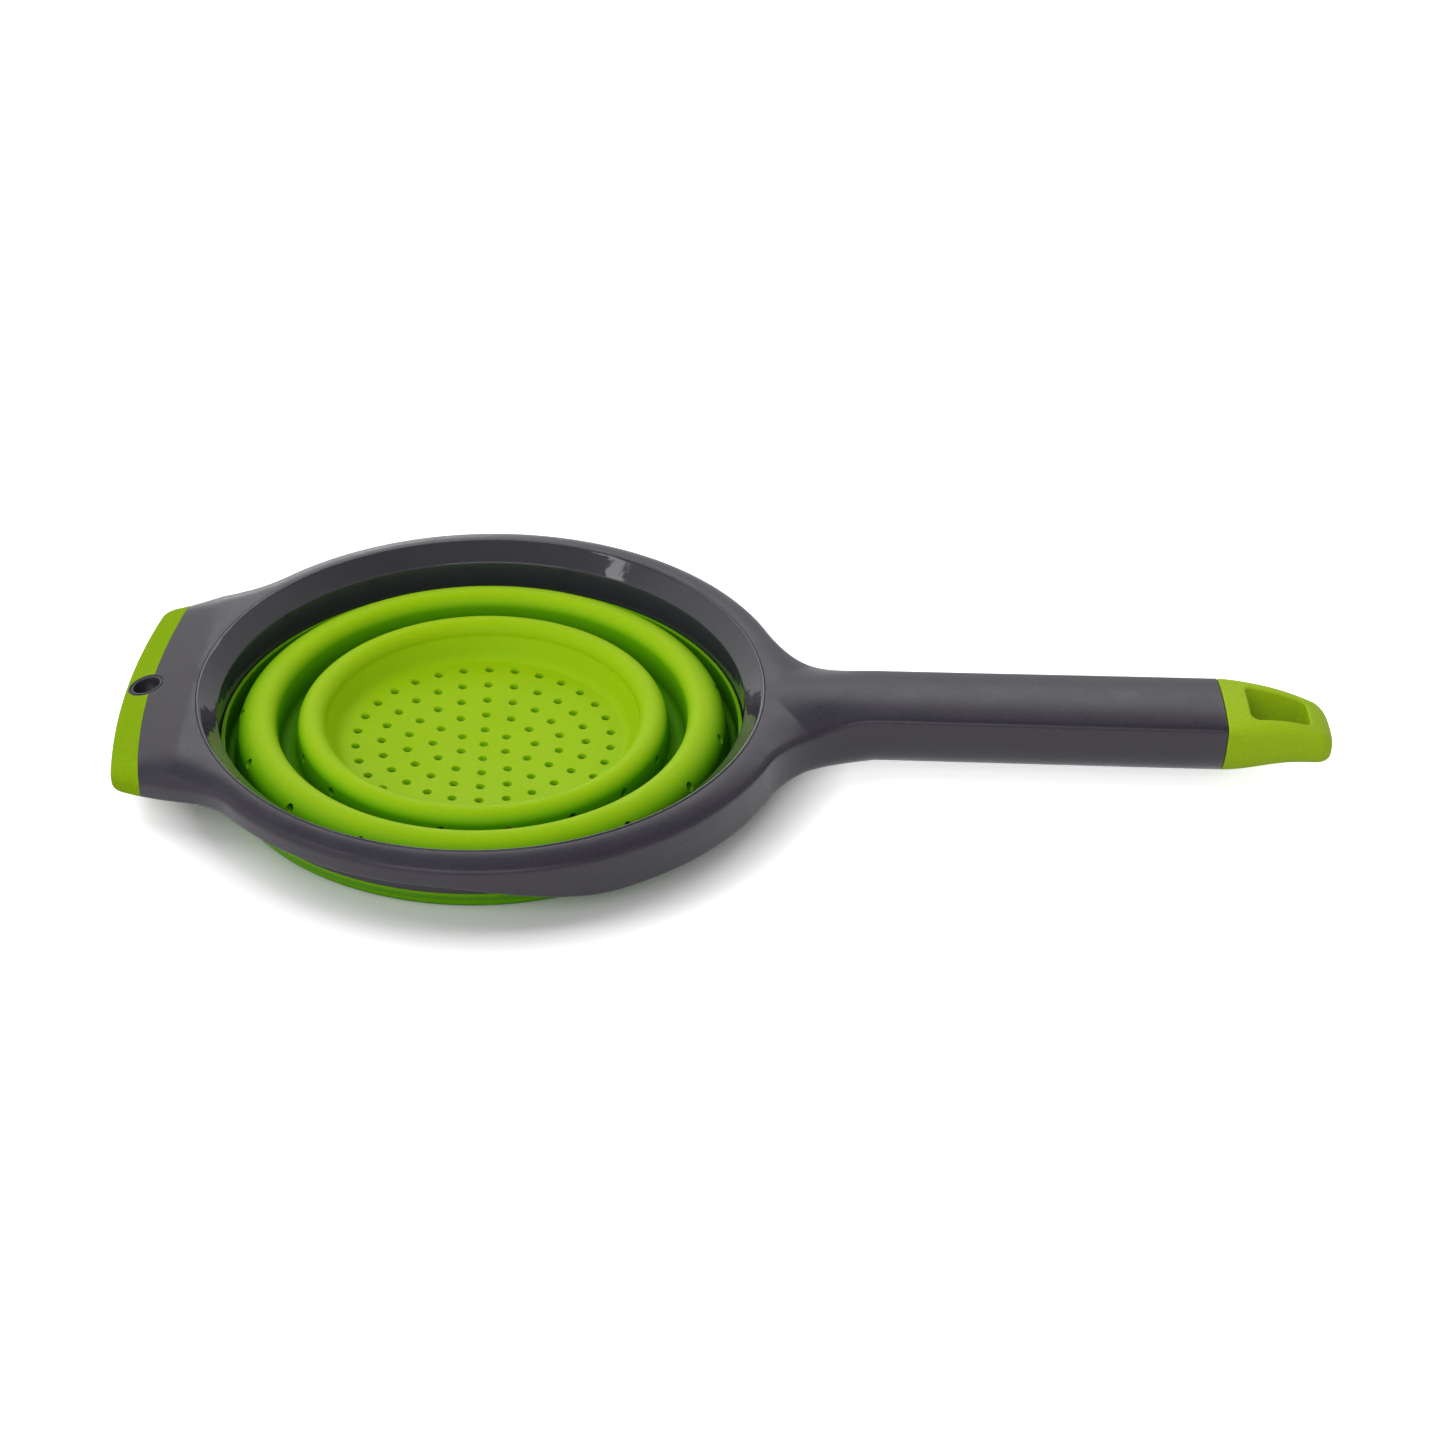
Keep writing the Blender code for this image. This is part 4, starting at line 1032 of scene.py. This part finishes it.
def green_silicone(name, deep, middle, distance, limits):
    material, shader = plastic(
        name, colour=(0.308, 0.505, 0.001), dark=(0.283, 0.485, 0.001),
        light=(0.355, 0.553, 0.004), roughness=(0.46, 0.58), grain=(1700, 0.03 * MM, 0.35),
        waves=(46, 0.9 * MM, 0.14), specular=0.08, speck=0.35)
    # paints shade into the folds and glow into the drain holes from the deep and middle colours
    paint_fold_shade_and_glow(material, shader, deep, middle, distance, limits)
    return material


def folded_silicone():
    # painted shade: the folds darken to a deep, pure green where they are closed in
    return green_silicone("folded_silicone", deep=(0.028, 0.180, 0.0005),
                          middle=(0.125, 0.410, 0.001), distance=28 * MM, limits=(0.08, 0.44, 0.90))


def drained_silicone():
    """Silicone of the floor, with painted glow: its drain holes are painted a bright green, and
    half-closed places a deeper green as painted shade.
    """
    return green_silicone("drained_silicone", deep=(0.290, 0.720, 0.0005),
                          middle=(0.240, 0.480, 0.001), distance=9 * MM, limits=(0.05, 0.45, 0.90))


def green_rubber(name, colour, dark, light, specular):
    return plastic(name, colour, dark, light, roughness=(0.60, 0.72), grain=(2100, 0.05 * MM, 0.5),
                   waves=(34, 0.8 * MM, 0.10), specular=specular)[0]


# Pieces

def finish_piece(obj, material, nodes, body=None, blend=None):
    """Give a piece its finish, and attach it to its body or bake its transform into its mesh."""
    mesh = obj.data
    mesh.materials.clear()
    mesh.materials.append(material)
    mesh.shade_smooth()
    mesh.set_sharp_from_angle(angle=SMOOTH_ANGLE)
    if blend:
        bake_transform(obj)
    else:
        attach(obj, body)
    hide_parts(*nodes)


def build_frame(material):
    obj, middle_line = frame_blank("frame_moulding")

    def top_at(x, y):
        return height_along(middle_line, x)

    strip = prism("strip_block", strip_outline(GRIP_WIDTH), 0, RIM_HEIGHT + OVERRUN)
    place = (-TAB_HOLE_X, 0)
    cut(strip, [rod("boss", TAB_BOSS_RADIUS, -OVERRUN, RIM_HEIGHT * 2, place)])
    hole = tab_hole_cutter(place, top_at)
    bore = handle_core("bore", HANDLE_END + OVERRUN, HANDLE_END - BORE_LENGTH, HANDLE_WALL)
    cut(obj, [ring_channel(), strip, boss_groove(place, top_at), hole, bore])
    finish_piece(obj, material, ["rim_handle_frame"], body="frame")


def build_grip(material):
    obj = frame_blank("tab_strip")[0]
    block = prism("grip_block", strip_outline(GRIP_WIDTH - THIN_SEAM), 0, RIM_HEIGHT + OVERRUN)
    cut(obj, [block], "INTERSECT")
    cut(obj, [rod("boss_room", TAB_BOSS_RADIUS + THIN_SEAM, -OVERRUN, RIM_HEIGHT * 2,
                  (-TAB_HOLE_X, 0))])
    finish_piece(obj, material, ["tab_grip"], body="frame")


def build_cap(material):
    obj = loft("end_cap", cap_sections(), start_cap=True, end_cap=True)
    mirror_sides(obj)
    cut(obj, [loop_cutter()])
    cut(obj, [handle_core("tenon", HANDLE_END + OVERRUN, HANDLE_END - TENON_LENGTH,
                          HANDLE_WALL + GAP)], "UNION")
    finish_piece(obj, material, ["handle_end_cap"], body="frame")


def build_bowl_ring(material):
    outer = SEAT_RADIUS - THIN_SEAM
    flange_bottom = RIM_HEIGHT - FLANGE_DEPTH
    cone_bottom = flange_bottom - FLANGE_CONE_HEIGHT
    edge = RIM_EDGE_ROUND
    top = arc((outer - edge, RIM_HEIGHT + RIM_PROUD - edge), edge, 0, RIM_EDGE_TURN, MOUTH_STEPS)
    knee_z = RIM_HEIGHT - BEVEL_DEPTH
    bevel = straight_run(top[-1], (BEVEL_RADIUS, knee_z), BEVEL_STEPS)
    knee = [(BEVEL_RADIUS + out, knee_z + up) for out, up in RIM_KNEE]
    skirt_foot = (SKIRT_INNER_RADIUS, SKIRT_BOTTOM)
    skirt = straight_run(knee[-1], skirt_foot, SKIRT_STEPS)
    profile = [(outer, flange_bottom)] + top + bevel + knee + skirt
    profile += [skirt_foot, (SKIRT_OUTER_RADIUS, SKIRT_BOTTOM), (SKIRT_OUTER_RADIUS, cone_bottom)]
    obj = lathe("polished_ring", profile)
    finish_piece(obj, material, ["bowl_ring"], body="frame")


def build_silicone(material, floor_material):
    outer = lathe("silicone_outer_wall", outer_wall_profile())
    finish_piece(outer, material, ["bowl_outer_wall"], body="frame")

    shoulder = lathe("silicone_outer_fold", fold_profile(OUTER_SHOULDER, OUTER_VALLEY))
    cut(shoulder, [wall_hole_cutters("outer_fold_holes", OUTER_WALL_HOLES, OUTER_WALL_HOLE_TURN,
                                     OUTER_SHOULDER, OUTER_WALL_HOLE_DROP)])
    finish_piece(shoulder, material, ["bowl_outer_fold"],
                 blend=("frame", "middle", (0, 0, 0), (0, 0, OUTER_SHOULDER[1])))

    middle = lathe("silicone_middle_wall", fold_profile(OUTER_CREST, INNER_VALLEY))
    finish_piece(middle, material, ["bowl_middle_wall"], body="middle")

    inner = lathe("silicone_inner_fold", fold_profile(INNER_CREST, INNER_VALLEY))
    cut(inner, [wall_hole_cutters("inner_fold_holes", INNER_WALL_HOLES, INNER_WALL_HOLE_TURN,
                                  INNER_CREST, INNER_WALL_HOLE_DROP)])
    finish_piece(inner, material, ["bowl_inner_fold"],
                 blend=("middle", "floor", (0, 0, INNER_VALLEY[1]), (0, 0, INNER_CREST[1])))

    floor = lathe("silicone_floor", floor_profile())
    cut(floor, [floor_hole_cutters()])
    finish_piece(floor, floor_material, ["bowl_floor"], body="floor")


# Stage, lamps and camera

def studio_light(world):
    """White to the camera. Light and reflections come from a white sweep and a dim ceiling."""
    tree = world.node_tree
    tree.nodes.clear()
    way = add_node(tree, "ShaderNodeTexCoord").outputs["Generated"]
    parts = add_node(tree, "ShaderNodeSeparateXYZ", {"Vector": way}).outputs
    fall = spread(tree, parts["Z"], 1.0, CEILING_LEVEL, *SWEEP_TOP, interpolation_type="SMOOTHSTEP")
    across = spread(tree, parts["X"], *SWEEP_LEVELS, -1.0, 1.0)
    level = calculate(tree, "MULTIPLY", fall, across)
    light = add_node(tree, "ShaderNodeBackground", {"Color": level})
    white = add_node(tree, "ShaderNodeBackground", {"Color": WHITE})
    choose = add_node(tree, "ShaderNodeMixShader", {
        "Fac": seen_by(tree, "Is Camera Ray", "Is Transmission Ray"),
        1: light.outputs["Background"], 2: white.outputs["Background"]})
    add_node(tree, "ShaderNodeOutputWorld", {"Surface": choose.outputs["Shader"]})


def pale_floor():
    """Matt white that keeps the shadow near the object and is pure white further out, with a
    painted glow that pales the shadow beyond the bowl's rim.
    """
    material, shader = node_tree("pale_floor")
    tree = material.node_tree
    surface = shader.outputs["BSDF"].links[0].to_socket
    coordinates = add_node(tree, "ShaderNodeTexCoord").outputs["Object"]
    apart = add_node(tree, "ShaderNodeVectorMath", {0: coordinates, 1: BOWL_AXIS},
                     operation="DISTANCE").outputs["Value"]
    shown = seen_by(tree, "Is Camera Ray", "Is Glossy Ray", "Is Transmission Ray")
    # painted light: a glow to the camera and in reflections that rises with distance from the
    # bowl's axis and pales the shadow there
    shadow_glow = spread(tree, apart, 0, FLOOR_SHADOW_GLOW_LEVEL, *FLOOR_SHADOW_GLOW_REACH)
    far = spread(tree, apart, 0, 1, *FLOOR_WHITE_REACH)
    feed_all(tree, shader, {
        "Base Color": blend_colour(tree, shown, (FLOOR_BOUNCE,) * 3, WHITE),
        "Roughness": FLOOR_ROUGHNESS, "Specular IOR Level": FLOOR_SPECULAR,
        "Emission Color": WHITE, "Emission Strength": calculate(tree, "MULTIPLY", shadow_glow, shown)})
    white = add_node(tree, "ShaderNodeEmission")
    choose = add_node(tree, "ShaderNodeMixShader", {
        "Fac": calculate(tree, "MULTIPLY", far, shown), 1: shader.outputs["BSDF"],
        2: white.outputs["Emission"]})
    feed(tree, surface, choose.outputs["Shader"])
    return material


def build_stage():
    world = bpy.data.worlds.new("studio")
    world.use_nodes = True
    bpy.context.scene.world = world
    studio_light(world)

    bm = bmesh.new()
    corners = [(-FLOOR_REACH, -FLOOR_REACH), (FLOOR_REACH, -FLOOR_REACH),
               (FLOOR_REACH, FLOOR_REACH), (-FLOOR_REACH, FLOOR_REACH)]
    bm.faces.new([bm.verts.new((x, y, 0)) for x, y in corners])
    floor = new_object("floor", bm, recalculate=False)
    floor.data.materials.append(pale_floor())
    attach(floor, "floor")


def build_lamps():
    for name, (place, target, size, power) in LAMPS.items():
        data = bpy.data.lights.new(name, "AREA")
        data.shape = "RECTANGLE"
        data.size, data.size_y = size
        data.energy = power
        lamp = add_object(name, data)
        lamp.location = place
        lamp.rotation_mode = "QUATERNION"
        lamp.rotation_quaternion = (Vector(target) - Vector(place)).to_track_quat("-Z", "Y")
        lamp.visible_glossy = name != UNREFLECTED_LAMP


def build_camera():
    data = bpy.data.cameras.new("camera")
    data.lens = CAMERA_LENS
    data.sensor_width = SENSOR_WIDTH
    camera = add_object("camera", data)
    pitch_cos, pitch_sin = math.cos(CAMERA_PITCH), math.sin(CAMERA_PITCH)
    level = Vector((1, 0, 0))
    ahead = Vector((0, pitch_cos, -pitch_sin))
    above = Vector((0, pitch_sin, pitch_cos))
    right = math.cos(CAMERA_ROLL) * level + math.sin(CAMERA_ROLL) * above
    up = -math.sin(CAMERA_ROLL) * level + math.cos(CAMERA_ROLL) * above
    offset = CAMERA_PLACE[0] * right + CAMERA_PLACE[1] * up + CAMERA_PLACE[2] * ahead
    matrix = Matrix((right, up, -ahead)).transposed().to_4x4()
    matrix.translation = BOWL_AXIS + Vector((0, 0, RIM_HEIGHT)) - offset * CAMERA_SCALE
    camera.matrix_world = matrix
    bpy.context.scene.camera = camera


def main():
    build_frame(grey_plastic())
    build_grip(green_rubber("strip_rubber", colour=(0.205, 0.350, 0.004),
                            dark=(0.190, 0.330, 0.003), light=(0.255, 0.405, 0.010),
                            specular=0.01))
    build_cap(green_rubber("cap_rubber", colour=(0.315, 0.478, 0.006),
                           dark=(0.295, 0.452, 0.005), light=(0.375, 0.540, 0.014),
                           specular=0.14))
    build_bowl_ring(glossy_grey())
    build_silicone(folded_silicone(), drained_silicone())
    build_stage()
    build_lamps()
    build_camera()
    bpy.context.scene.view_settings.view_transform = "Standard"


main()
